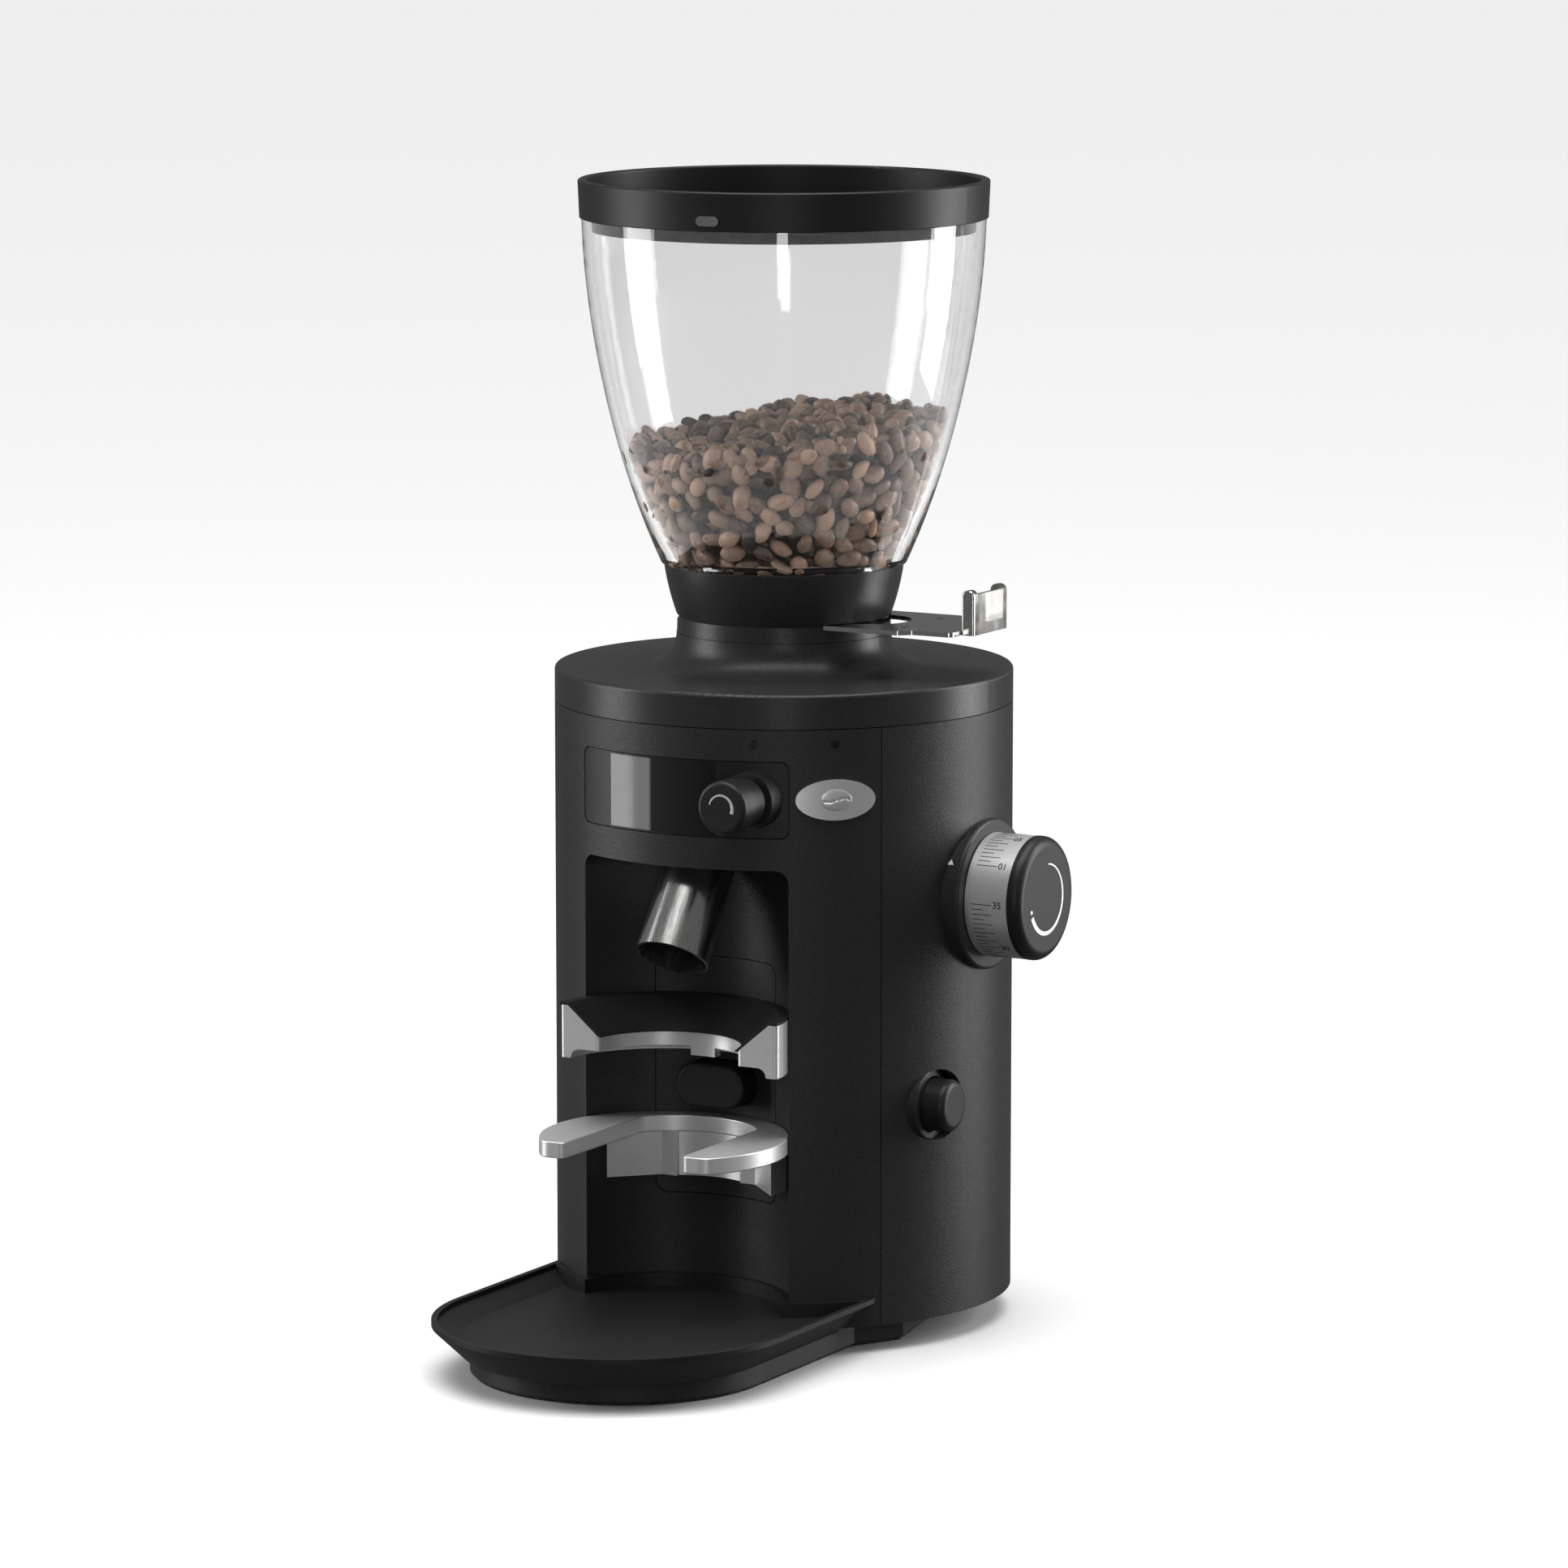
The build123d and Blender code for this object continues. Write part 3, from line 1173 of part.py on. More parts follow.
with BuildPart() as hopper_shell:
    foot = collar_top - socket_depth + seat
    lip = socket_radius - seat
    with BuildSketch(Plane.XZ):
        with BuildLine():
            Spline(*shell_points(0, 0))
            Line((hopper_top_radius, hopper_top), (hopper_top_radius - hopper_wall, hopper_top))
            Spline(*reversed(shell_points(hopper_wall, hopper_wall)))
            Polyline((hopper_base_radius - hopper_wall, hopper_base + hopper_wall),
                     (lip - hopper_wall, hopper_base), (lip - hopper_wall, foot), (lip, foot), (lip, hopper_base),
                     (hopper_base_radius, hopper_base))
        make_face()
    revolve(axis=Axis.Z)
hopper_shell.part.label = "hopper_shell"
export_step(hopper_shell.part, "parts/hopper_shell.step")

with BuildPart() as bean_fill:
    level_share = (bean_level - hopper_base) / hopper_rise
    fill = [p for p in shell_points(hopper_wall + 2 * gap, hopper_wall) if p[1] < bean_level - 4]
    fill_radius = hopper_base_radius - hopper_wall - 2 * gap + hopper_spread * (0.97 * level_share) ** 0.63
    with BuildSketch(Plane.XZ):
        with BuildLine():
            Polyline((0, funnel_low + 1), (throat_radius - gap, funnel_low + 1),
                     (lip - hopper_wall - gap, foot + 1), (lip - hopper_wall - gap, hopper_base),
                     fill[0])
            Spline(*fill, (fill_radius, bean_level))
            Polyline((fill_radius, bean_level), (fill_radius / 2, bean_level + 3.5), (0, bean_level + 5),
                     (0, funnel_low + 1))
        make_face()
    revolve(axis=Axis.Z)
bean_fill.part.label = "bean_fill"
export_step(bean_fill.part, "parts/bean_fill.step")

lid_top = lid_low + lid_height
lid_well = lid_low + lid_floor
with BuildPart() as hopper_lid:
    with BuildSketch(Plane.XZ):
        with BuildLine():
            Polyline((0, lid_low), (lid_radius - lid_taper, lid_low), (lid_radius, lid_top),
                     (lid_radius - lid_wall, lid_top), (lid_radius - lid_wall - 0.4, lid_well),
                     (0, lid_well), (0, lid_low))
        make_face()
    revolve(axis=Axis.Z)
    rim_edges = hopper_lid.edges().filter_by(lambda e: abs(e.center().Z - lid_top) < 0.01)
    fillet(rim_edges.filter_by(lambda e: e.length > 100), 0.8)
    with BuildSketch(body_plane(marker_angle, lid_radius - 1.2, lid_low + 3.4)):
        SlotOverall(8.4 + 2 * seat, 3.5 + 2 * seat)
    extrude(amount=3, mode=Mode.SUBTRACT)
hopper_lid.part.label = "hopper_lid"
export_step(hopper_lid.part, "parts/hopper_lid.step")

with BuildPart() as lid_marker:
    with BuildSketch(body_plane(marker_angle, lid_radius - 1.2, lid_low + 3.4)):
        SlotOverall(8.4, 3.5)
    extrude(amount=0.8)
lid_marker.part.label = "lid_marker"
export_step(lid_marker.part, "parts/lid_marker.step")

with BuildPart() as lid_seal:
    seal_outer = hopper_top_radius - hopper_wall - gap - 0.4
    with BuildSketch(Plane.XY.offset(lid_low - lid_skirt)):
        Circle(seal_outer)
        Circle(seal_outer - 3, mode=Mode.SUBTRACT)
    extrude(amount=lid_skirt)
    fillet(lid_seal.faces().sort_by(Axis.Z)[0].edges(), 0.8)
lid_seal.part.label = "lid_seal"
export_step(lid_seal.part, "parts/lid_seal.step")

# ---------------------------------------------------------------- shutter slide
with BuildPart() as shutter_blade:
    with BuildSketch(Plane.XY.offset(blade_low)):
        with BuildLine():
            w = blade_half_width
            e = blade_end_half_width
            Polyline((-blade_inner_end, -w), (blade_step, -w), (blade_step + 4, -e), (blade_end, -e),
                     (blade_end, e), (blade_step + 4, e), (blade_step, w), (-blade_inner_end, w),
                     (-blade_inner_end, -w))
        make_face()
        with Locations((shutter_travel, 0)):
            Circle(throat_radius, mode=Mode.SUBTRACT)
        with Locations((56, -13), (56, 13)):
            Circle(1.4, mode=Mode.SUBTRACT)
    extrude(amount=blade_thickness)
    end_edges = shutter_blade.edges().filter_by(Axis.Z)
    end_edges = end_edges.filter_by(lambda e: abs(e.center().X) > blade_inner_end - 0.1)
    fillet(end_edges.filter_by(lambda e: abs(e.center().Y) > blade_end_half_width - 0.1), 2)
shutter_blade.part.label = "shutter_blade"
export_step(shutter_blade.part, "parts/shutter_blade.step")

with BuildPart() as shutter_handle:
    with BuildSketch(side_plane(blade_end, 0, blade_low + handle_height / 2)):
        Rectangle(handle_width, handle_height)
    extrude(amount=handle_depth)
    inner = handle_width - 2 * handle_bar
    with BuildSketch(side_plane(blade_end + 1.6, 0, blade_low + 4)):
        Rectangle(inner, handle_height, align=(Align.CENTER, Align.MIN))
    extrude(amount=handle_depth, mode=Mode.SUBTRACT)
    with BuildSketch(side_plane(blade_end, 0, blade_low + handle_height - 2.4)):
        Rectangle(inner, handle_height, align=(Align.CENTER, Align.MIN))
    extrude(amount=handle_depth, mode=Mode.SUBTRACT)
    ears = shutter_handle.edges().filter_by(Axis.Y).filter_by(
        lambda e: e.center().Z > blade_low + handle_height - 0.1)
    fillet(ears, 2.2)
    fillet(shutter_handle.edges().filter_by(Axis.Z).filter_by(
        lambda e: abs(e.center().Y) > handle_width / 2 - 0.1), 0.8)
shutter_handle.part.label = "shutter_handle"
export_step(shutter_handle.part, "parts/shutter_handle.step")

# ---------------------------------------------------------------- tray


def tray_outline(half, centre):
    """Round-nosed outline, open-ended behind the tray's rear wall."""
    with BuildLine() as outline:
        ThreePointArc((-half, -centre), (0, -centre - half), (half, -centre))
        Polyline((half, -centre), (half, 30), (-half, 30), (-half, -centre))
    return outline.line


def body_footprint(clearance):
    """The body's front with the bay left open, and all that is behind it."""
    with BuildSketch() as footprint:
        Circle(body_radius + tray_gap + clearance)
        with Locations((0, bay_y)):
            Circle(bay_radius - gap - clearance, mode=Mode.SUBTRACT)
        Rectangle(4 * body_radius, 4 * body_radius, align=(Align.CENTER, Align.MIN))
    return footprint.sketch


tray_low = plinth_top + gap
slope_height = tray_top - tray_lip - tray_low
slope_angle = degrees(atan((tray_half_width - tray_foot_half_width) / slope_height))
with BuildPart() as tray:
    with BuildSketch(Plane.XY.offset(tray_low)):
        make_face(tray_outline(tray_foot_half_width, tray_centre))
    extrude(amount=slope_height, taper=-slope_angle)
    with BuildSketch(Plane.XY.offset(tray_top - tray_lip)):
        make_face(tray_outline(tray_half_width, tray_centre))
    extrude(amount=tray_lip)
    with BuildSketch(Plane.XY.offset(tray_low)):
        add(body_footprint(0))
    extrude(amount=2 * tray_top, mode=Mode.SUBTRACT)
with BuildPart() as dish:
    dish_half = tray_half_width - tray_wall
    dish_rise = tray_top - tray_lip - tray_well
    with BuildSketch(Plane.XY.offset(tray_well)):
        make_face(tray_outline(tray_well_half_width, tray_centre))
    extrude(amount=dish_rise, taper=-degrees(atan((dish_half - tray_well_half_width) / dish_rise)))
    with BuildSketch(Plane.XY.offset(tray_top - tray_lip)):
        make_face(tray_outline(dish_half, tray_centre))
    extrude(amount=2 * tray_lip)
    with BuildSketch(Plane.XY.offset(tray_well)):
        add(body_footprint(tray_wall))
    extrude(amount=2 * tray_top, mode=Mode.SUBTRACT)
with BuildPart() as underside:
    with BuildSketch(Plane.XY.offset(tray_low)):
        make_face(tray_outline(tray_foot_half_width - tray_wall, tray_centre))
    extrude(amount=tray_well - tray_floor - tray_low)
    with BuildSketch(Plane.XY.offset(tray_low)):
        add(body_footprint(tray_wall))
    extrude(amount=2 * tray_top, mode=Mode.SUBTRACT)
tray.part = tray.part - dish.part - underside.part
tray.part.label = "tray"
export_step(tray.part, "parts/tray.step")
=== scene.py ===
# %% [markdown]
# # A burr coffee grinder, dressed in Blender
# The grinder's solids, sizes and joints come from the frame, which is fixed. This file gives every
# piece its finish, and models what a solid modeller is poor at: loose beans, a printed
# scale, a badge and small marks. Each cell does one thing and says what it made or measured.

import json
import math
import random

import bpy
from mathutils import Matrix, Vector


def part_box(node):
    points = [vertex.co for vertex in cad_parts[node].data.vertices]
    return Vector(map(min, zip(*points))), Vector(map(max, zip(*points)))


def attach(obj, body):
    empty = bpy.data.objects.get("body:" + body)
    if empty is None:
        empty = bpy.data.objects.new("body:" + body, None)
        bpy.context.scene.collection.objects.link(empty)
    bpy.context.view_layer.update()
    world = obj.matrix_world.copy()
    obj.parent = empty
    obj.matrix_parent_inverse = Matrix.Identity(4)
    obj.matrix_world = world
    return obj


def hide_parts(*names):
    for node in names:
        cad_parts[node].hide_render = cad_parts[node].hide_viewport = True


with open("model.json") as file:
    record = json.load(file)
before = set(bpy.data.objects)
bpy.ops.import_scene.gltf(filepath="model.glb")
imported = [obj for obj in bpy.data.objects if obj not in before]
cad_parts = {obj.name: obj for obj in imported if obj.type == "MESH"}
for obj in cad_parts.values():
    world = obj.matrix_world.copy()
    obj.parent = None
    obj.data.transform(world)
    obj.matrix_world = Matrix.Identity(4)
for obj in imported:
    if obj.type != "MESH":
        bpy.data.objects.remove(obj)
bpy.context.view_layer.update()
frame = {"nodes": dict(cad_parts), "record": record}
mm = 0.001
print("solids in the frame:", len(frame["nodes"]))

# %% [markdown]
# ## The camera
# A long lens from far away keeps upright edges almost upright. It stands a little above the middle
# of the hopper and is turned towards the dial. Its place is worked out from a heading, a distance
# and a height, because those are easy to correct one at a time.

# %% Camera
heading = math.radians(28.9)
downward = math.radians(8.799)
distance = 2.6046
lens_height = 0.5956
lens = bpy.data.cameras.new("camera")
lens.lens = 167.74
lens.sensor_width = 36
camera = bpy.data.objects.new("camera", lens)
camera.location = (distance * math.sin(heading), -distance * math.cos(heading), lens_height)
camera.rotation_euler = (math.pi / 2 - downward, 0, heading)
bpy.context.scene.collection.objects.link(camera)
bpy.context.scene.camera = camera
print("camera at", [round(c, 3) for c in camera.location])

# %% [markdown]
# ## Finishes
# A finish is a recipe: a base colour, how rough it is, and what breaks up its evenness. The helpers
# below build the parts that every recipe shares, so that each finish is only a few lines.


# %% Helpers for finishes
def new_finish(name, colour, roughness, metallic=0.0):
    """A finish with one Principled shader, and what is needed to add to it."""
    finish = bpy.data.materials.new(name)
    finish.use_nodes = True
    tree = finish.node_tree
    shader = tree.nodes["Principled BSDF"]
    shader.inputs["Base Color"].default_value = (*colour, 1)
    shader.inputs["Roughness"].default_value = roughness
    shader.inputs["Metallic"].default_value = metallic
    if not metallic:
        shader.inputs["Specular IOR Level"].default_value = 0.3
    return finish, tree, shader


def grain(tree, size, detail=2.0, stretch=(1, 1, 1)):
    """Noise on Object coordinates. Size is a lump's width in metres, stretch makes it longer."""
    place = tree.nodes.new("ShaderNodeTexCoord")
    fit = tree.nodes.new("ShaderNodeMapping")
    fit.inputs["Scale"].default_value = [1 / (size * s) for s in stretch]
    noise = tree.nodes.new("ShaderNodeTexNoise")
    noise.inputs["Scale"].default_value = 1
    noise.inputs["Detail"].default_value = detail
    tree.links.new(place.outputs["Object"], fit.inputs["Vector"])
    tree.links.new(fit.outputs["Vector"], noise.inputs["Vector"])
    return noise.outputs["Fac"]


def raise_by(tree, shader, source, height, strength=1.0):
    """Bumps the surface: height in metres where the source is 1."""
    bump = tree.nodes.new("ShaderNodeBump")
    bump.inputs["Distance"].default_value = height
    bump.inputs["Strength"].default_value = strength
    tree.links.new(source, bump.inputs["Height"])
    tree.links.new(bump.outputs["Normal"], shader.inputs["Normal"])


def vary(tree, source, low, high, socket, clip=(0.3, 0.7)):
    """Turns the source into a number from low to high and feeds it to a socket."""
    remap = tree.nodes.new("ShaderNodeMapRange")
    remap.inputs["From Min"].default_value, remap.inputs["From Max"].default_value = clip
    remap.inputs["To Min"].default_value, remap.inputs["To Max"].default_value = low, high
    tree.links.new(source, remap.inputs["Value"])
    tree.links.new(remap.outputs["Result"], socket)


def colour_between(tree, source, dark, light, socket, clip=(0.35, 0.65)):
    """Turns the source into a colour between dark and light."""
    ramp = tree.nodes.new("ShaderNodeValToRGB")
    for stop, at, colour in zip(ramp.color_ramp.elements, clip, (dark, light)):
        stop.position = at
        stop.color = (*colour, 1)
    tree.links.new(source, ramp.inputs["Fac"])
    tree.links.new(ramp.outputs["Color"], socket)
    return ramp


finishes = {}

# %% [markdown]
# ### Black metal and plastic
# The housing is steel with a fine textured powder coat: powder that melts into tiny lumps a third of
# a millimetre wide, which scatter a highlight into a soft band. The cover and the neck are smoother.
# The moulded pieces have a finer and shallower grain, as spark-eroded moulds leave.

# %% Powder coat
powder, tree, shader = new_finish("textured_powder_coat", (0.022, 0.022, 0.023), 0.42)
lumps = grain(tree, 0.42 * mm, detail=3)
colour_between(tree, lumps, (0.015, 0.015, 0.016), (0.032, 0.032, 0.033), shader.inputs["Base Color"])
vary(tree, lumps, 0.48, 0.36, shader.inputs["Roughness"])
raise_by(tree, shader, lumps, 0.11 * mm, 0.75)
finishes["black_powder_coat"] = powder
print("powder coat lumps:", 0.42, "mm wide")

# %% Satin black
satin, tree, shader = new_finish("satin_black", (0.025, 0.025, 0.026), 0.38)
peel = grain(tree, 0.8 * mm, detail=2)
colour_between(tree, peel, (0.020, 0.020, 0.021), (0.031, 0.031, 0.032), shader.inputs["Base Color"])
vary(tree, peel, 0.40, 0.33, shader.inputs["Roughness"])
raise_by(tree, shader, peel, 0.03 * mm, 0.5)
finishes["black_satin"] = satin

# %% Moulded black plastic
moulded, tree, shader = new_finish("moulded_black", (0.012, 0.012, 0.012), 0.45)
spark = grain(tree, 0.25 * mm, detail=2)
colour_between(tree, spark, (0.009, 0.009, 0.009), (0.015, 0.015, 0.016), shader.inputs["Base Color"])
vary(tree, spark, 0.48, 0.38, shader.inputs["Roughness"])
raise_by(tree, shader, spark, 0.03 * mm, 0.6)
finishes["black_plastic"] = moulded

# %% Rubber
rubber, tree, shader = new_finish("rubber", (0.014, 0.014, 0.014), 0.8)
bloom = grain(tree, 3 * mm, detail=4)
colour_between(tree, bloom, (0.010, 0.010, 0.010), (0.022, 0.022, 0.021), shader.inputs["Base Color"])
vary(tree, bloom, 0.88, 0.68, shader.inputs["Roughness"])
finishes["rubber"] = rubber

# %% [markdown]
# ### Bright metal
# The fork and the half-ring are cast aluminium with a satin finish, so their grain is fine and even.
# The spout and the shutter are steel, drawn and polished along their length. A drawn piece has long
# thin streaks, so its noise is stretched along the direction in which it was drawn.

# %% Satin silver
silver, tree, shader = new_finish("satin_silver", (0.76, 0.76, 0.765), 0.38, 0.72)
blasted = grain(tree, 0.3 * mm, detail=3)
colour_between(tree, blasted, (0.71, 0.71, 0.715), (0.80, 0.80, 0.80), shader.inputs["Base Color"])
vary(tree, blasted, 0.34, 0.44, shader.inputs["Roughness"])
raise_by(tree, shader, blasted, 0.015 * mm, 0.4)
finishes["silver_satin"] = silver

# %% Polished steel
polished, tree, shader = new_finish("polished_steel", (0.62, 0.61, 0.60), 0.17, 1.0)
streaks = grain(tree, 0.25 * mm, detail=2, stretch=(1, 30, 30))
colour_between(tree, streaks, (0.56, 0.55, 0.54), (0.66, 0.65, 0.64), shader.inputs["Base Color"])
vary(tree, streaks, 0.14, 0.22, shader.inputs["Roughness"])
finishes["polished_steel"] = polished

# %% Hard ground steel
ground, tree, shader = new_finish("ground_steel", (0.42, 0.42, 0.43), 0.28, 1.0)
lay = grain(tree, 0.2 * mm, detail=2, stretch=(12, 12, 1))
colour_between(tree, lay, (0.34, 0.34, 0.35), (0.48, 0.48, 0.49), shader.inputs["Base Color"])
vary(tree, lay, 0.22, 0.36, shader.inputs["Roughness"])
finishes["hard_steel"] = ground

# %% Cast aluminium
cast, tree, shader = new_finish("cast_aluminium", (0.5, 0.5, 0.5), 0.48, 1.0)
sand = grain(tree, 0.7 * mm, detail=5)
colour_between(tree, sand, (0.42, 0.42, 0.42), (0.56, 0.56, 0.56), shader.inputs["Base Color"])
vary(tree, sand, 0.42, 0.58, shader.inputs["Roughness"])
raise_by(tree, shader, sand, 0.08 * mm, 0.6)
finishes["cast_aluminium"] = cast

# %% Blackened screws
blackened, tree, shader = new_finish("blackened_steel", (0.03, 0.03, 0.03), 0.35, 1.0)
oxide = grain(tree, 0.6 * mm, detail=3)
colour_between(tree, oxide, (0.02, 0.02, 0.02), (0.06, 0.06, 0.06), shader.inputs["Base Color"])
vary(tree, oxide, 0.3, 0.45, shader.inputs["Roughness"])
finishes["fasteners"] = blackened

# %% Motor iron
iron, tree, shader = new_finish("lacquered_iron", (0.10, 0.10, 0.11), 0.42, 0.4)
lacquer = grain(tree, 1.5 * mm, detail=4)
colour_between(tree, lacquer, (0.07, 0.07, 0.08), (0.14, 0.14, 0.15), shader.inputs["Base Color"])
vary(tree, lacquer, 0.36, 0.5, shader.inputs["Roughness"])
finishes["motor_iron"] = iron

# %% Brass
brass, tree, shader = new_finish("brass", (0.62, 0.42, 0.17), 0.25, 1.0)
tarnish = grain(tree, 1.2 * mm, detail=4)
colour_between(tree, tarnish, (0.48, 0.31, 0.12), (0.68, 0.47, 0.20), shader.inputs["Base Color"])
vary(tree, tarnish, 0.2, 0.34, shader.inputs["Roughness"])
finishes["brass"] = brass

# %% Grey plastic
grey, tree, shader = new_finish("grey_plastic", (0.16, 0.16, 0.165), 0.4)
fleck = grain(tree, 0.4 * mm, detail=3)
colour_between(tree, fleck, (0.13, 0.13, 0.135), (0.19, 0.19, 0.195), shader.inputs["Base Color"])
vary(tree, fleck, 0.44, 0.34, shader.inputs["Roughness"])
finishes["grey_plastic"] = grey

# %% [markdown]
# ### Clear plastic
# The bowl is moulded from clear plastic with a faint grey tint. Seen edge on, only one wall is
# between the eye and the light, so the rim of the bowl looks lighter than its middle. Lamps shine
# through it without bending, so that the beans inside are lit, by a mix that only lamp rays meet.

# %% Clear bowl
clear, tree, shader = new_finish("clear_bowl", (0.90, 0.90, 0.905), 0.02)
shader.inputs["Transmission Weight"].default_value = 1
shader.inputs["IOR"].default_value = 1.49
haze = grain(tree, 25 * mm, detail=2)
vary(tree, haze, 0.015, 0.045, shader.inputs["Roughness"])
open_way = tree.nodes.new("ShaderNodeBsdfTransparent")
open_way.inputs["Color"].default_value = (0.92, 0.92, 0.925, 1)
ray = tree.nodes.new("ShaderNodeLightPath")
lamp_mix = tree.nodes.new("ShaderNodeMixShader")
tree.links.new(ray.outputs["Is Shadow Ray"], lamp_mix.inputs["Fac"])
tree.links.new(shader.outputs["BSDF"], lamp_mix.inputs[1])
tree.links.new(open_way.outputs["BSDF"], lamp_mix.inputs[2])
tree.links.new(lamp_mix.outputs["Shader"], tree.nodes["Material Output"].inputs["Surface"])
finishes["clear_plastic"] = clear

# %% Coffee
coffee, tree, shader = new_finish("roasted_coffee", (0.13, 0.085, 0.06), 0.38)
# A per-bean value: a random roast tone, lowered for deeper beans as painted shade.
roast_and_depth_shade = tree.nodes.new("ShaderNodeAttribute")
roast_and_depth_shade.attribute_name = "roast_and_depth_shade"
fold = tree.nodes.new("ShaderNodeAttribute")
fold.attribute_name = "crease"
skin = grain(tree, 1.6 * mm, detail=4)
blend = tree.nodes.new("ShaderNodeMath")
blend.operation = "MULTIPLY_ADD"
blend.inputs[1].default_value = 0.5
tree.links.new(skin, blend.inputs[0])
tree.links.new(roast_and_depth_shade.outputs["Fac"], blend.inputs[2])
shades = tree.nodes.new("ShaderNodeValToRGB")
shades.color_ramp.elements[0].position = 0.3
shades.color_ramp.elements[0].color = (0.022, 0.012, 0.008, 1)
shades.color_ramp.elements[1].position = 1.0
shades.color_ramp.elements[1].color = (0.33, 0.215, 0.15, 1)
tree.links.new(blend.outputs["Value"], shades.inputs["Fac"])
# Painted shade: points in the bean's crease get a near-black brown.
painted_fold_shade = tree.nodes.new("ShaderNodeMix")
painted_fold_shade.data_type = "RGBA"
painted_fold_shade.inputs["B"].default_value = (0.02, 0.011, 0.008, 1)
tree.links.new(fold.outputs["Fac"], painted_fold_shade.inputs["Factor"])
tree.links.new(shades.outputs["Color"], painted_fold_shade.inputs["A"])
tree.links.new(painted_fold_shade.outputs["Result"], shader.inputs["Base Color"])
vary(tree, skin, 0.3, 0.5, shader.inputs["Roughness"])
finishes["coffee"] = coffee

# %% [markdown]
# ### Display
# A smoked window with an unlit grey screen behind its left part. The screen ends in a sharp edge, so
# its colour follows the place across the window, with two colours set almost on top of each other.

# %% Display window
glass, tree, shader = new_finish("display_window_finish", (0.02, 0.02, 0.022), 0.16)
where = tree.nodes.new("ShaderNodeTexCoord")
split = tree.nodes.new("ShaderNodeSeparateXYZ")
across = tree.nodes.new("ShaderNodeMapRange")
across.inputs["From Min"].default_value = -27 * mm
across.inputs["From Max"].default_value = 17 * mm
screen = tree.nodes.new("ShaderNodeValToRGB")
screen_stops = [(0.0, 0.13), (0.2, 0.21), (0.40, 0.25), (0.43, 0.022), (1.0, 0.008)]
for at, grey_level in screen_stops[1:-1]:
    screen.color_ramp.elements.new(at)
for stop, (at, grey_level) in zip(screen.color_ramp.elements, screen_stops):
    stop.position = at
    stop.color = (grey_level, grey_level, grey_level, 1)
tree.links.new(where.outputs["Object"], split.inputs["Vector"])
tree.links.new(split.outputs["X"], across.inputs["Value"])
tree.links.new(across.outputs["Result"], screen.inputs["Fac"])
tree.links.new(screen.outputs["Color"], shader.inputs["Base Color"])
film = grain(tree, 6 * mm, detail=2)
vary(tree, film, 0.13, 0.2, shader.inputs["Roughness"])
finishes["display"] = glass

# %% Give each solid its finish
for part in frame["record"]["subparts"]:
    node = frame["nodes"][part["node"]]
    for spot in node.material_slots:
        spot.material = finishes[part["material_slot"]]
print("finishes given:", len(finishes))

# %% [markdown]
# ## Floor and light
# Black metal shows its shape only by what it mirrors, so tall soft panels stand to the left and the
# right. A broad overhead light keeps the floor pale and the shadow faint. The floor is hidden from
# the rays that would carry its white back onto the black metal, because they make it look grey.

# %% Floor
bpy.ops.object.select_all(action="DESELECT")
bpy.ops.mesh.primitive_plane_add(size=60, location=(0, 0, 0))
floor = bpy.context.object
floor.name = "studio_floor"
floor_finish, tree, shader = new_finish("studio_floor", (0.93, 0.93, 0.93), 0.35)
shader.inputs["Specular IOR Level"].default_value = 0.12
floor.data.materials.append(floor_finish)
floor.visible_diffuse = False
floor.visible_glossy = False


# %% Lights
def panel(name, place, aim, size, power):
    """A soft rectangular light of size (width, height) in metres, turned to face a point."""
    data = bpy.data.lights.new(name, "AREA")
    data.shape = "RECTANGLE"
    data.size, data.size_y = size
    data.energy = power
    light = bpy.data.objects.new(name, data)
    light.location = place
    light.rotation_euler = (Vector(aim) - Vector(place)).to_track_quat("-Z", "Y").to_euler()
    light.visible_camera = False
    bpy.context.scene.collection.objects.link(light)
    return light


def stand(heading_degrees, away, height):
    """A place round the grinder: the heading is from the front towards the dial."""
    turn = math.radians(heading_degrees)
    return (away * math.sin(turn), -away * math.cos(turn), height)


middle = (0, 0, 0.2)
panel("left_panel", stand(-62, 1.5, 0.45), middle, (0.6, 1.3), 16)
panel("front_panel", stand(28, 1.9, 0.30), middle, (0.2, 1.0), 4)
panel("right_panel", stand(132, 1.4, 0.45), middle, (0.5, 1.3), 20)
panel("top_panel", (-0.1, -0.1, 1.7), middle, (1.0, 1.0), 4)
sky = bpy.data.lights.new("overhead", "SUN")
sky.energy = 3.3
sky.angle = math.radians(60)
overhead = bpy.data.objects.new("overhead", sky)
bpy.context.scene.collection.objects.link(overhead)
studio = bpy.data.worlds.new("studio")
bpy.context.scene.world = studio
studio.use_nodes = True
studio.node_tree.nodes["Background"].inputs["Color"].default_value = (1, 1, 1, 1)
studio.node_tree.nodes["Background"].inputs["Strength"].default_value = 0.14
bpy.context.scene.view_settings.view_transform = "Standard"

# %% [markdown]
# ## Coffee beans
# Loose beans are what the eye goes to first. One bean is modelled, an egg with a flatter, creased
# side. Copies of it are strewn against the bowl's wall in three layers and over the top of the heap
# in two, and in each layer their middles keep a least distance. The deeper layers are painted
# darker, as painted shade for the light lost under the beans above. A plain dark heap fills the
# middle, as painted shade for the inside of the heap.


# %% Edit-mode helpers
def nothing_selected():
    bpy.ops.object.select_all(action="DESELECT")


def pick(mesh, keep):
    """Selects the vertices that keep() says yes to. The object is in object mode."""
    for item in list(mesh.vertices) + list(mesh.edges) + list(mesh.polygons):
        item.select = False
    for v in mesh.vertices:
        v.select = keep(v.co)


def edit(operator, **settings):
    """Runs one edit-mode operator on what is selected in the active object."""
    bpy.ops.object.mode_set(mode="EDIT")
    bpy.ops.mesh.select_mode(type="VERT")
    operator(**settings)
    bpy.ops.object.mode_set(mode="OBJECT")


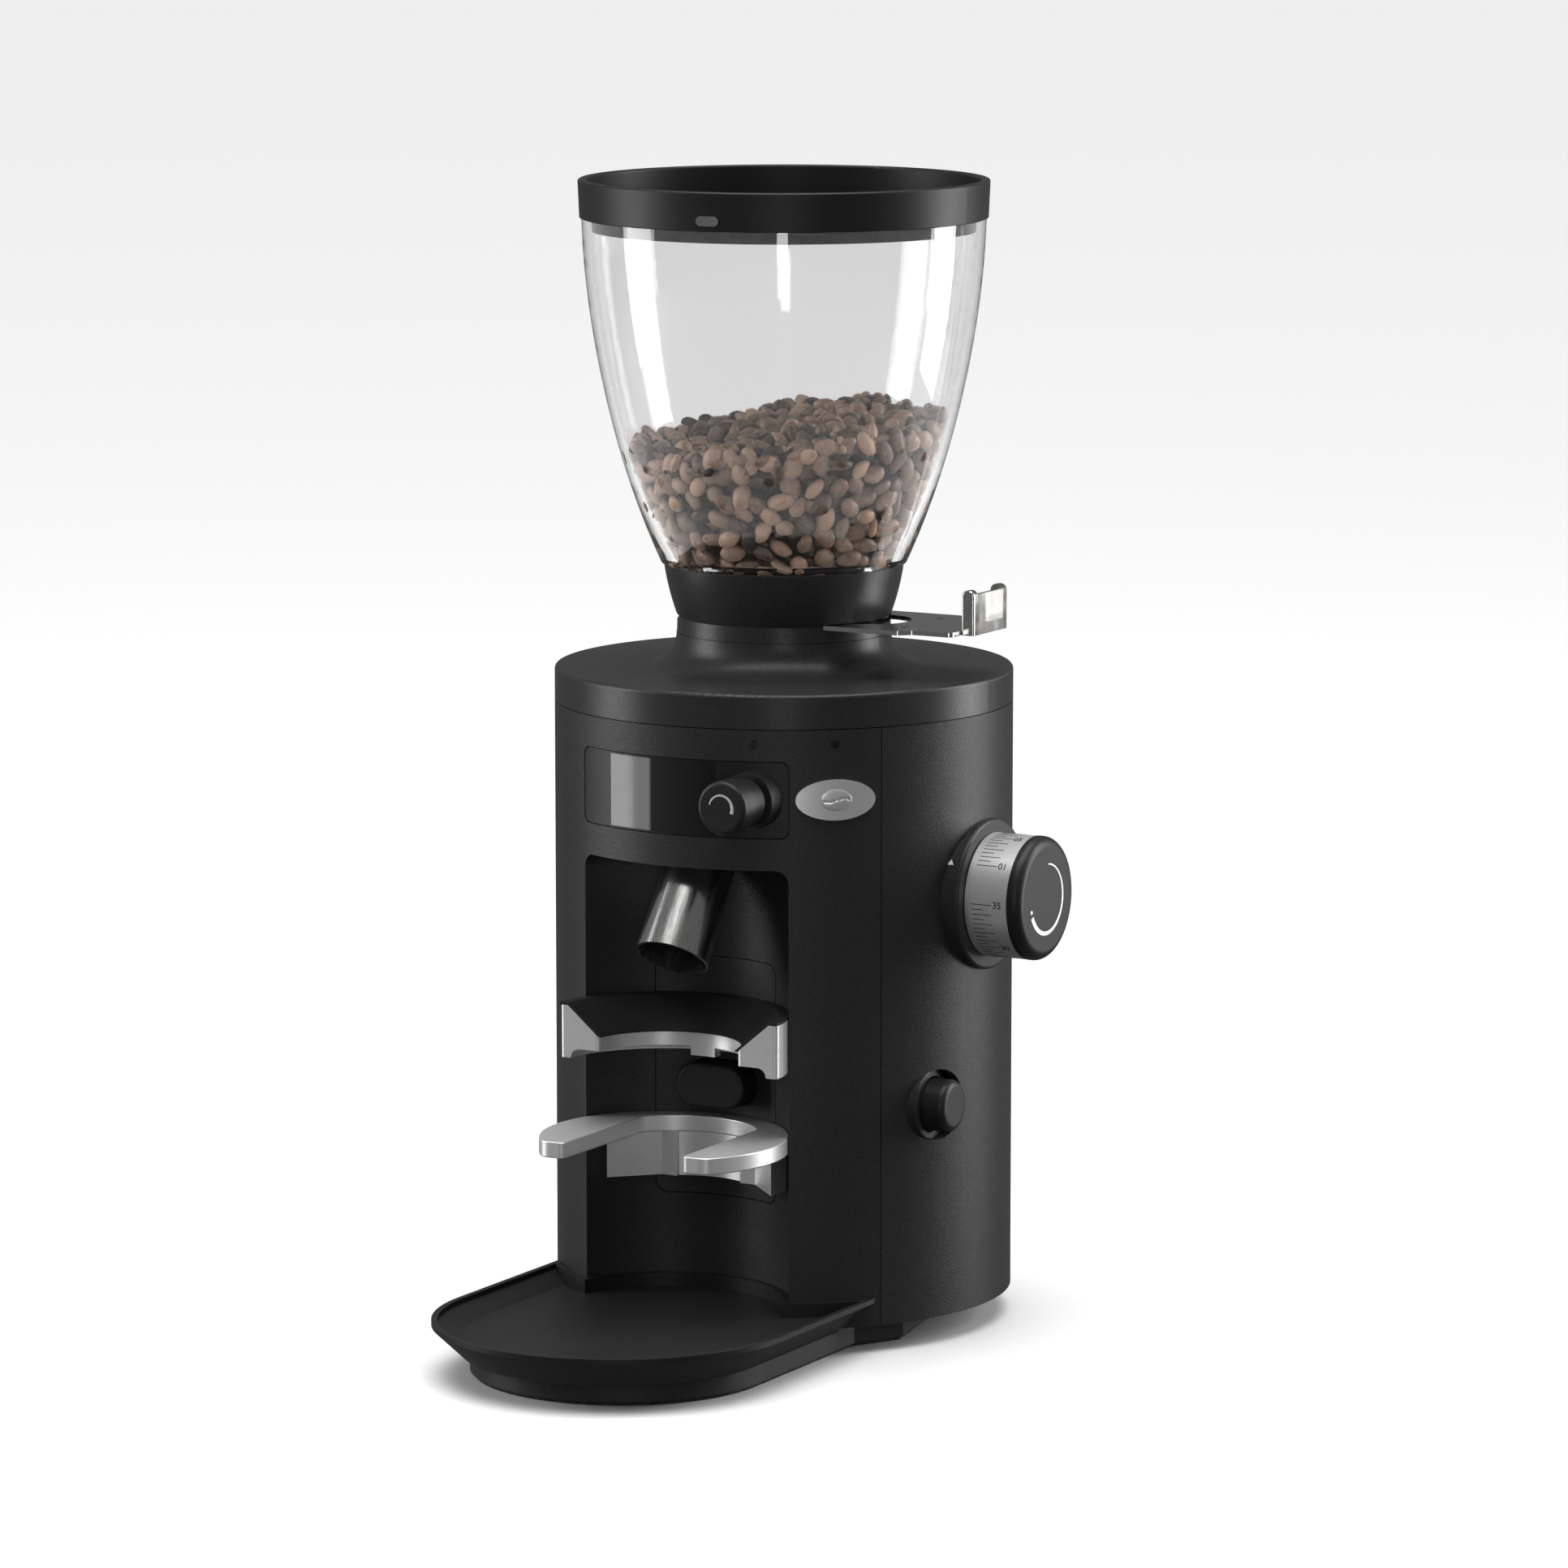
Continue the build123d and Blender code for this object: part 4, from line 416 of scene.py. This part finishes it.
# %% Model one bean
nothing_selected()
bpy.ops.mesh.primitive_uv_sphere_add(segments=10, ring_count=6, radius=1, rotation=(0, math.pi / 2, 0))
bean = bpy.context.object
bpy.ops.object.transform_apply(rotation=True)
shape = bean.data
pick(shape, lambda p: p.z > 0.3 and abs(p.y) < 0.95)
edit(bpy.ops.transform.resize, value=(1, 1, 0.5), center_override=(0, 0, 0.1))
pick(shape, lambda p: p.z > 0.2 and 0.2 < abs(p.y) < 0.75)
edit(bpy.ops.transform.resize, value=(1, 0.45, 1), center_override=(0, 0, 0))
pick(shape, lambda p: p.z > 0.2 and abs(p.y) < 0.05 and abs(p.x) < 0.95)
edit(bpy.ops.transform.translate, value=(0, 0.03, -0.34))
# The points of the crease, which the coffee finish paints darker as shade in the fold.
crease = [abs(v.co.y) < 0.1 and v.co.z > -0.2 and abs(v.co.x) < 0.95 for v in shape.vertices]
bean_points = [v.co.copy() for v in shape.vertices]
bean_faces = [tuple(f.vertices) for f in shape.polygons]
bpy.data.objects.remove(bean)
print("one bean:", len(bean_points), "points,", len(bean_faces), "faces")

# %% Measure the bowl
bowl = frame["nodes"]["hopper_shell"]


def wall_radius(z):
    """The bowl's inside radius at a height, by a ray from its axis."""
    hit, place, _, _ = bowl.ray_cast(Vector((0, 0, z)), Vector((1, 0.013, 0)))
    return math.hypot(place.x, place.y) if hit else 0.044


lowest_look = 0.26
look_step = 2 * mm
bowl_radii = [wall_radius(lowest_look + look_step * i) for i in range(42)]


def bowl_radius(z):
    """The bowl's inside radius, between the heights that were measured."""
    step = min(max((z - lowest_look) / look_step, 0), len(bowl_radii) - 1.001)
    low = int(step)
    return bowl_radii[low] + (step - low) * (bowl_radii[low + 1] - bowl_radii[low])


print("bowl radius at 280, 320 mm:", [round(bowl_radius(z) / mm, 1) for z in (0.28, 0.32)])

# %% Strew the beans
rng = random.Random(11)


def heap_height(x, y):
    """The uneven top of the heap, higher towards the right and the back."""
    across = x * 0.875 + y * 0.484
    deep = y * 0.875 - x * 0.484
    rise = 4.2 * math.tanh(across / (22 * mm)) + 2.5 * deep / (50 * mm)
    bumps = 1.6 * math.sin(across / (8 * mm) + 1) * math.cos(deep / (11 * mm))
    return (320.5 + rise + bumps) * mm


class Scatter:
    """Places already taken, in a coarse grid, so that nearness is quick to test."""

    def __init__(self, apart):
        self.apart = apart
        self.cells = {}

    def take(self, p):
        key = tuple(int(c // self.apart) for c in p)
        for dx in (-1, 0, 1):
            for dy in (-1, 0, 1):
                for dz in (-1, 0, 1):
                    for q in self.cells.get((key[0] + dx, key[1] + dy, key[2] + dz), ()):
                        if (q - p).length < self.apart:
                            return False
        self.cells.setdefault(key, []).append(p)
        return True


def lie(place, outward, tilt):
    """A matrix that lays a bean at a place with its back or its crease facing outward."""
    facing = outward if rng.random() < 0.42 else -outward
    wobble = Vector([rng.gauss(0, tilt) for _ in range(3)])
    facing = (facing + wobble).normalized()
    roll = Matrix.Rotation(rng.uniform(0, 6.283), 3, "Z")
    turn = facing.to_track_quat("Z", "X").to_matrix() @ roll
    size = rng.uniform(0.92, 1.1)
    half = Vector((4.7 * size * rng.uniform(0.93, 1.07), 3.35 * size, 2.55 * size)) * mm
    scale = Matrix.Diagonal(half)
    return Matrix.Translation(place) @ (turn @ scale).to_4x4()


lays = []
# The last number of each wall layer is painted shade: it darkens the deeper layers behind other beans.
wall_layers = ((2.9, 5.7, 16000, 0), (6.6, 6.0, 9000, 0.45), (10.5, 6.6, 6000, 0.7))
for inward, apart, tries, shaded in wall_layers:
    taken = Scatter(apart * mm)
    for _ in range(tries):
        angle = rng.uniform(0, 2 * math.pi)
        z = rng.uniform(0.2715, 0.331)
        radius = bowl_radius(z) - inward * mm
        place = Vector((radius * math.cos(angle), radius * math.sin(angle), z))
        if z > heap_height(place.x, place.y):
            continue
        if taken.take(place):
            slope = (bowl_radius(z + 2 * mm) - bowl_radius(z - 2 * mm)) / (4 * mm)
            outward = Vector((math.cos(angle), math.sin(angle), -slope)).normalized()
            lays.append((lie(place, outward, 0.3), shaded))
# Beans sunk deeper into the top of the heap are darker by a tenth of their depth: painted shade.
for sunk, apart, tries in ((0.5, 6.0, 9000), (4.5, 6.4, 5000)):
    taken = Scatter(apart * mm)
    for _ in range(tries):
        angle, share = rng.uniform(0, 2 * math.pi), math.sqrt(rng.random())
        reach = (bowl_radius(0.322) - 5 * mm) * share
        x, y = reach * math.cos(angle), reach * math.sin(angle)
        place = Vector((x, y, heap_height(x, y) - sunk * mm))
        if taken.take(place):
            lays.append((lie(place, Vector((0, 0, 1)), 0.5), sunk / 10))
print("beans:", len(lays))

# %% Join the beans into meshes
parts_of_heap = 2
for number in range(parts_of_heap):
    points, faces, shades = [], [], []
    for lay, shaded in lays[number::parts_of_heap]:
        base = len(points)
        # Each bean's value is a random tone less its layer's darkening, and that darkening is painted
        # shade.
        shade = min(max(rng.gauss(0.5, 0.22) - shaded, 0), 1)
        for p, dark in zip(bean_points, crease):
            points.append(lay @ p)
            shades.append((shade, 1.0 if dark else 0.0))
        faces += [tuple(base + i for i in face) for face in bean_faces]
    mesh = bpy.data.meshes.new(f"beans_{number + 1}")
    mesh.from_pydata(points, [], faces)
    shade_data = mesh.attributes.new("roast_and_depth_shade", "FLOAT", "POINT")
    crease_data = mesh.attributes.new("crease", "FLOAT", "POINT")
    for index, (shade, dark) in enumerate(shades):
        shade_data.data[index].value = shade
        crease_data.data[index].value = dark
    mesh.polygons.foreach_set("use_smooth", [True] * len(mesh.polygons))
    mesh.materials.append(coffee)
    pile = bpy.data.objects.new(f"beans_{number + 1}", mesh)
    bpy.context.scene.collection.objects.link(pile)
    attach(pile, "hopper")
    print(pile.name, len(faces), "faces")

# %% A dark core for the heap, as painted shade
nothing_selected()
core_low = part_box("bean_fill")[0][2]
bpy.ops.mesh.primitive_cylinder_add(
    vertices=48, radius=13 * mm, depth=1 * mm, location=(0, 0, core_low + 0.5 * mm))
core = bpy.context.object
core.name = "bean_core_shade"
bpy.ops.object.transform_apply(location=True)
rings = [(z, bowl_radius(z) - 9 * mm) for z in (0.266, 0.280, 0.295, 0.308)]
rings.append((0.313, bowl_radius(0.313) - 16 * mm))
for z, radius in rings:
    top = max(v.co.z for v in core.data.vertices)
    reach = max(v.co.x for v in core.data.vertices if v.co.z > top - 1e-5)
    pick(core.data, lambda p: p.z > top - 1e-5)
    edit(bpy.ops.mesh.extrude_region_move, TRANSFORM_OT_translate={"value": (0, 0, z - top)})
    grow = radius / reach
    edit(bpy.ops.transform.resize, value=(grow, grow, 1), center_override=(0, 0, z))
# With no per-bean values, the coffee finish gives the core nearly its darkest brown: painted shade for
# the inside of the heap.
core.data.materials.append(coffee)
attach(core, "hopper")
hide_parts("bean_fill")
print("core:", len(core.data.vertices), "points")

# %% [markdown]
# ## The grind scale
# The drum's scale is laser-marked: a long line for each setting, a short one for each half, and a
# number every fifth. A line is modelled once as a thin bar with softened edges and copied round the
# drum. The numbers are text turned into mesh before it is placed, because flat text has no normals
# of its own to trust.

# %% Sizes of the scale
dial_axis_z = 0.1592
drum_low, drum_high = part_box("scale_drum")
drum_radius = (drum_high[2] - drum_low[2]) / 2
drum_back = drum_low[0]
step_angle = math.radians(9.5)
first_setting, last_setting = 1, 35
print("drum radius", round(drum_radius / mm, 2), "mm, back at", round(drum_back / mm, 2), "mm")

# %% Ink
ink, tree, shader = new_finish("laser_mark", (0.01, 0.01, 0.01), 0.5)
char = grain(tree, 0.3 * mm, detail=3)
colour_between(tree, char, (0.006, 0.006, 0.006), (0.03, 0.03, 0.03), shader.inputs["Base Color"])


def setting_angle(setting):
    """How far a setting is above the drum's front, seen from the dial side."""
    return (setting - last_setting) * step_angle


def onto_drum(obj, angle):
    """Turns a mark made at the drum's front round the dial's axis."""
    pivot = Matrix.Translation((0, 0, dial_axis_z))
    spin = Matrix.Rotation(-angle, 4, "X")
    obj.data.transform(pivot @ spin @ pivot.inverted())


def joined(pieces, name):
    """Joins pieces into one object of that name."""
    nothing_selected()
    for piece in pieces:
        piece.select_set(True)
    bpy.context.view_layer.objects.active = pieces[0]
    bpy.ops.object.join()
    whole = bpy.context.object
    whole.name = name
    return whole


# %% One line of the scale
nothing_selected()
bpy.ops.mesh.primitive_cube_add(size=1, location=(0, 0, 0))
line = bpy.context.object
line.scale = (8 * mm, 0.12 * mm, 0.26 * mm)
bpy.ops.object.transform_apply(scale=True)
edit(bpy.ops.mesh.select_all, action="SELECT")
edit(bpy.ops.mesh.bevel, offset=0.03 * mm, segments=2, affect="EDGES")
print("line:", len(line.data.polygons), "faces")

# %% Copy it round the drum
marks = []
for half_step in range(2 * first_setting, 2 * last_setting + 1):
    length = 1.0 if half_step % 2 == 0 else 0.6
    mark = line.copy()
    mark.data = line.data.copy()
    bpy.context.scene.collection.objects.link(mark)
    mark.data.transform(Matrix.Diagonal((length, 1, 1, 1)))
    start = drum_back + 2.6 * mm + 4 * mm * length
    mark.data.transform(Matrix.Translation((start, -drum_radius - 0.01 * mm, dial_axis_z)))
    onto_drum(mark, setting_angle(half_step / 2))
    marks.append(mark)
bpy.data.objects.remove(line)
scale_lines = joined(marks, "scale_lines")
scale_lines.data.materials.clear()
scale_lines.data.materials.append(ink)
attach(scale_lines, "dial")
print("lines:", len(marks))

# %% Numbers
numbers = []
for setting in [first_setting] + list(range(5, last_setting + 1, 5)):
    nothing_selected()
    bpy.ops.object.text_add(location=(0, 0, 0))
    number = bpy.context.object
    number.data.body = f"{setting:02d}"
    number.data.size = 3.5 * mm
    number.data.extrude = 0.06 * mm
    number.data.align_y = "CENTER"
    bpy.ops.object.convert(target="MESH")
    number = bpy.context.object
    stand_up = Matrix.Rotation(math.pi / 2, 4, "X")
    first_place = (drum_back + 11.0 * mm, -drum_radius - 0.01 * mm, dial_axis_z)
    number.data.transform(Matrix.Translation(first_place) @ stand_up)
    onto_drum(number, setting_angle(setting))
    numbers.append(number)
scale_numbers = joined(numbers, "scale_numbers")
scale_numbers.data.materials.clear()
scale_numbers.data.materials.append(ink)
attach(scale_numbers, "dial")
print("numbers:", len(numbers))

# %% [markdown]
# ## Small bright marks
# The dial's cap and the timer knob each carry a thin inlaid arc that swells towards one end. A curve
# with a flat section and a radius at each point gives the swell, and becomes a mesh. The index on
# the dial's collar is a small white triangle.

# %% White print
white, tree, shader = new_finish("white_print", (0.75, 0.75, 0.75), 0.4)
chalk = grain(tree, 0.4 * mm, detail=3)
colour_between(tree, chalk, (0.68, 0.68, 0.68), (0.82, 0.82, 0.82), shader.inputs["Base Color"])


# %% Arc maker
def swelling_arc(name, radius, start, end, thin, thick, depth=0.12 * mm):
    """A flat arc in the XY plane from start to end in degrees, its width going from thick to thin."""
    nothing_selected()
    bpy.ops.mesh.primitive_circle_add(vertices=8, radius=0.5)
    section = bpy.context.object
    section.data.transform(Matrix.Diagonal((1, depth / thick, 1, 1)))
    bpy.ops.object.convert(target="CURVE")
    section = bpy.context.object
    line = bpy.data.curves.new(name, "CURVE")
    line.dimensions = "3D"
    line.bevel_mode = "OBJECT"
    line.bevel_object = section
    line.use_fill_caps = True
    run = line.splines.new("POLY")
    steps = 64
    run.points.add(steps)
    for index, point in enumerate(run.points):
        share = index / steps
        turn = math.radians(start + (end - start) * share)
        point.co = (radius * math.cos(turn), radius * math.sin(turn), 0, 1)
        point.radius = thick + (thin - thick) * share ** 0.8
    arc = bpy.data.objects.new(name, line)
    bpy.context.scene.collection.objects.link(arc)
    nothing_selected()
    arc.select_set(True)
    bpy.context.view_layer.objects.active = arc
    bpy.ops.object.convert(target="MESH")
    bpy.data.objects.remove(section)
    return bpy.context.object


# %% Arc on the dial's cap
cap_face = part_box("dial_cap")[1][0]
dial_arc_radius = 12.4 * mm
dial_arc = swelling_arc("dial_arc", dial_arc_radius, 205, 445, 0.5 * mm, 2.0 * mm)
nothing_selected()
bpy.ops.mesh.primitive_uv_sphere_add(segments=20, ring_count=10, radius=0.8 * mm)
dot = bpy.context.object
turn = math.radians(196)
dot.data.transform(Matrix.Diagonal((1, 1, 0.15, 1)))
dot_place = (dial_arc_radius * math.cos(turn), dial_arc_radius * math.sin(turn), 0)
dot.data.transform(Matrix.Translation(dot_place))
dial_arc = joined([dial_arc, dot], "dial_arc")
face_out = Matrix(((0, 0, 1, cap_face), (1, 0, 0, 0), (0, 1, 0, dial_axis_z), (0, 0, 0, 1)))
dial_arc.data.transform(face_out)
dial_arc.data.materials.clear()
dial_arc.data.materials.append(silver)
bpy.ops.object.shade_smooth_by_angle()
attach(dial_arc, "dial")
print("dial arc at", round(cap_face / mm, 2), "mm")

# %% Arc on the timer knob
knob_low, knob_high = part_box("timer_knob")
knob_face = knob_low[1]
knob_x = (knob_low[0] + knob_high[0]) / 2
knob_z = (knob_low[2] + knob_high[2]) / 2
timer_arc = swelling_arc("timer_arc", 4.6 * mm, -20, 165, 0.5 * mm, 1.3 * mm)
face_front = Matrix(((1, 0, 0, knob_x), (0, 0, -1, knob_face), (0, 1, 0, knob_z), (0, 0, 0, 1)))
timer_arc.data.transform(face_front)
timer_arc.data.materials.clear()
timer_arc.data.materials.append(silver)
bpy.ops.object.shade_smooth_by_angle()
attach(timer_arc, "timer")
print("timer arc at", round(knob_x / mm, 1), round(knob_z / mm, 1))

# %% Index on the dial's collar
collar_low, collar_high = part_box("dial_escutcheon")
collar_radius = (collar_high[2] - collar_low[2]) / 2
index_angle = math.radians(31.5)
nothing_selected()
bpy.ops.mesh.primitive_cylinder_add(vertices=3, radius=1.45 * mm, depth=0.16 * mm)
dial_index = bpy.context.object
dial_index.name = "dial_index"
edit(bpy.ops.mesh.select_all, action="SELECT")
edit(bpy.ops.mesh.bevel, offset=0.04 * mm, segments=2, affect="EDGES")
upright = Matrix.Rotation(math.pi / 2, 4, "X")
index_x = 80 * mm
dial_index.data.transform(Matrix.Translation((index_x, -collar_radius, dial_axis_z)) @ upright)
onto_drum(dial_index, index_angle)
dial_index.data.materials.append(white)
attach(dial_index, "housing")
print("index at", [round(c / mm, 1) for c in (index_x, collar_radius)])

# %% [markdown]
# ## Badge
# The badge is a generic oval with a raised coffee bean. The bean is a flattened ball, and its middle
# line is pushed in to make the crease.

# %% Bean on the badge
badge_turn = Matrix.Rotation(math.radians(41.6), 4, "Z")
badge_low, badge_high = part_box("badge")
badge_z = (badge_low[2] + badge_high[2]) / 2
badge_face = 83.2 * mm
nothing_selected()
bpy.ops.mesh.primitive_uv_sphere_add(segments=48, ring_count=24, radius=1)
badge_bean = bpy.context.object
badge_bean.name = "badge_bean"
relief = badge_bean.data
pick(relief, lambda p: abs(p.y - 0.16 * math.sin(3 * p.x)) < 0.12 and p.z > 0 and abs(p.x) < 0.9)
edit(bpy.ops.transform.translate, value=(0, 0, -0.9))
relief.transform(Matrix.Diagonal((5.6 * mm, 3.9 * mm, 0.5 * mm, 1)))
relief.transform(badge_turn @ Matrix.Translation((0, -badge_face, badge_z)) @ upright)
relief.materials.append(silver)
nothing_selected()
badge_bean.select_set(True)
bpy.context.view_layer.objects.active = badge_bean
bpy.ops.object.shade_smooth_by_angle()
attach(badge_bean, "housing")
print("badge bean:", len(relief.polygons), "faces")
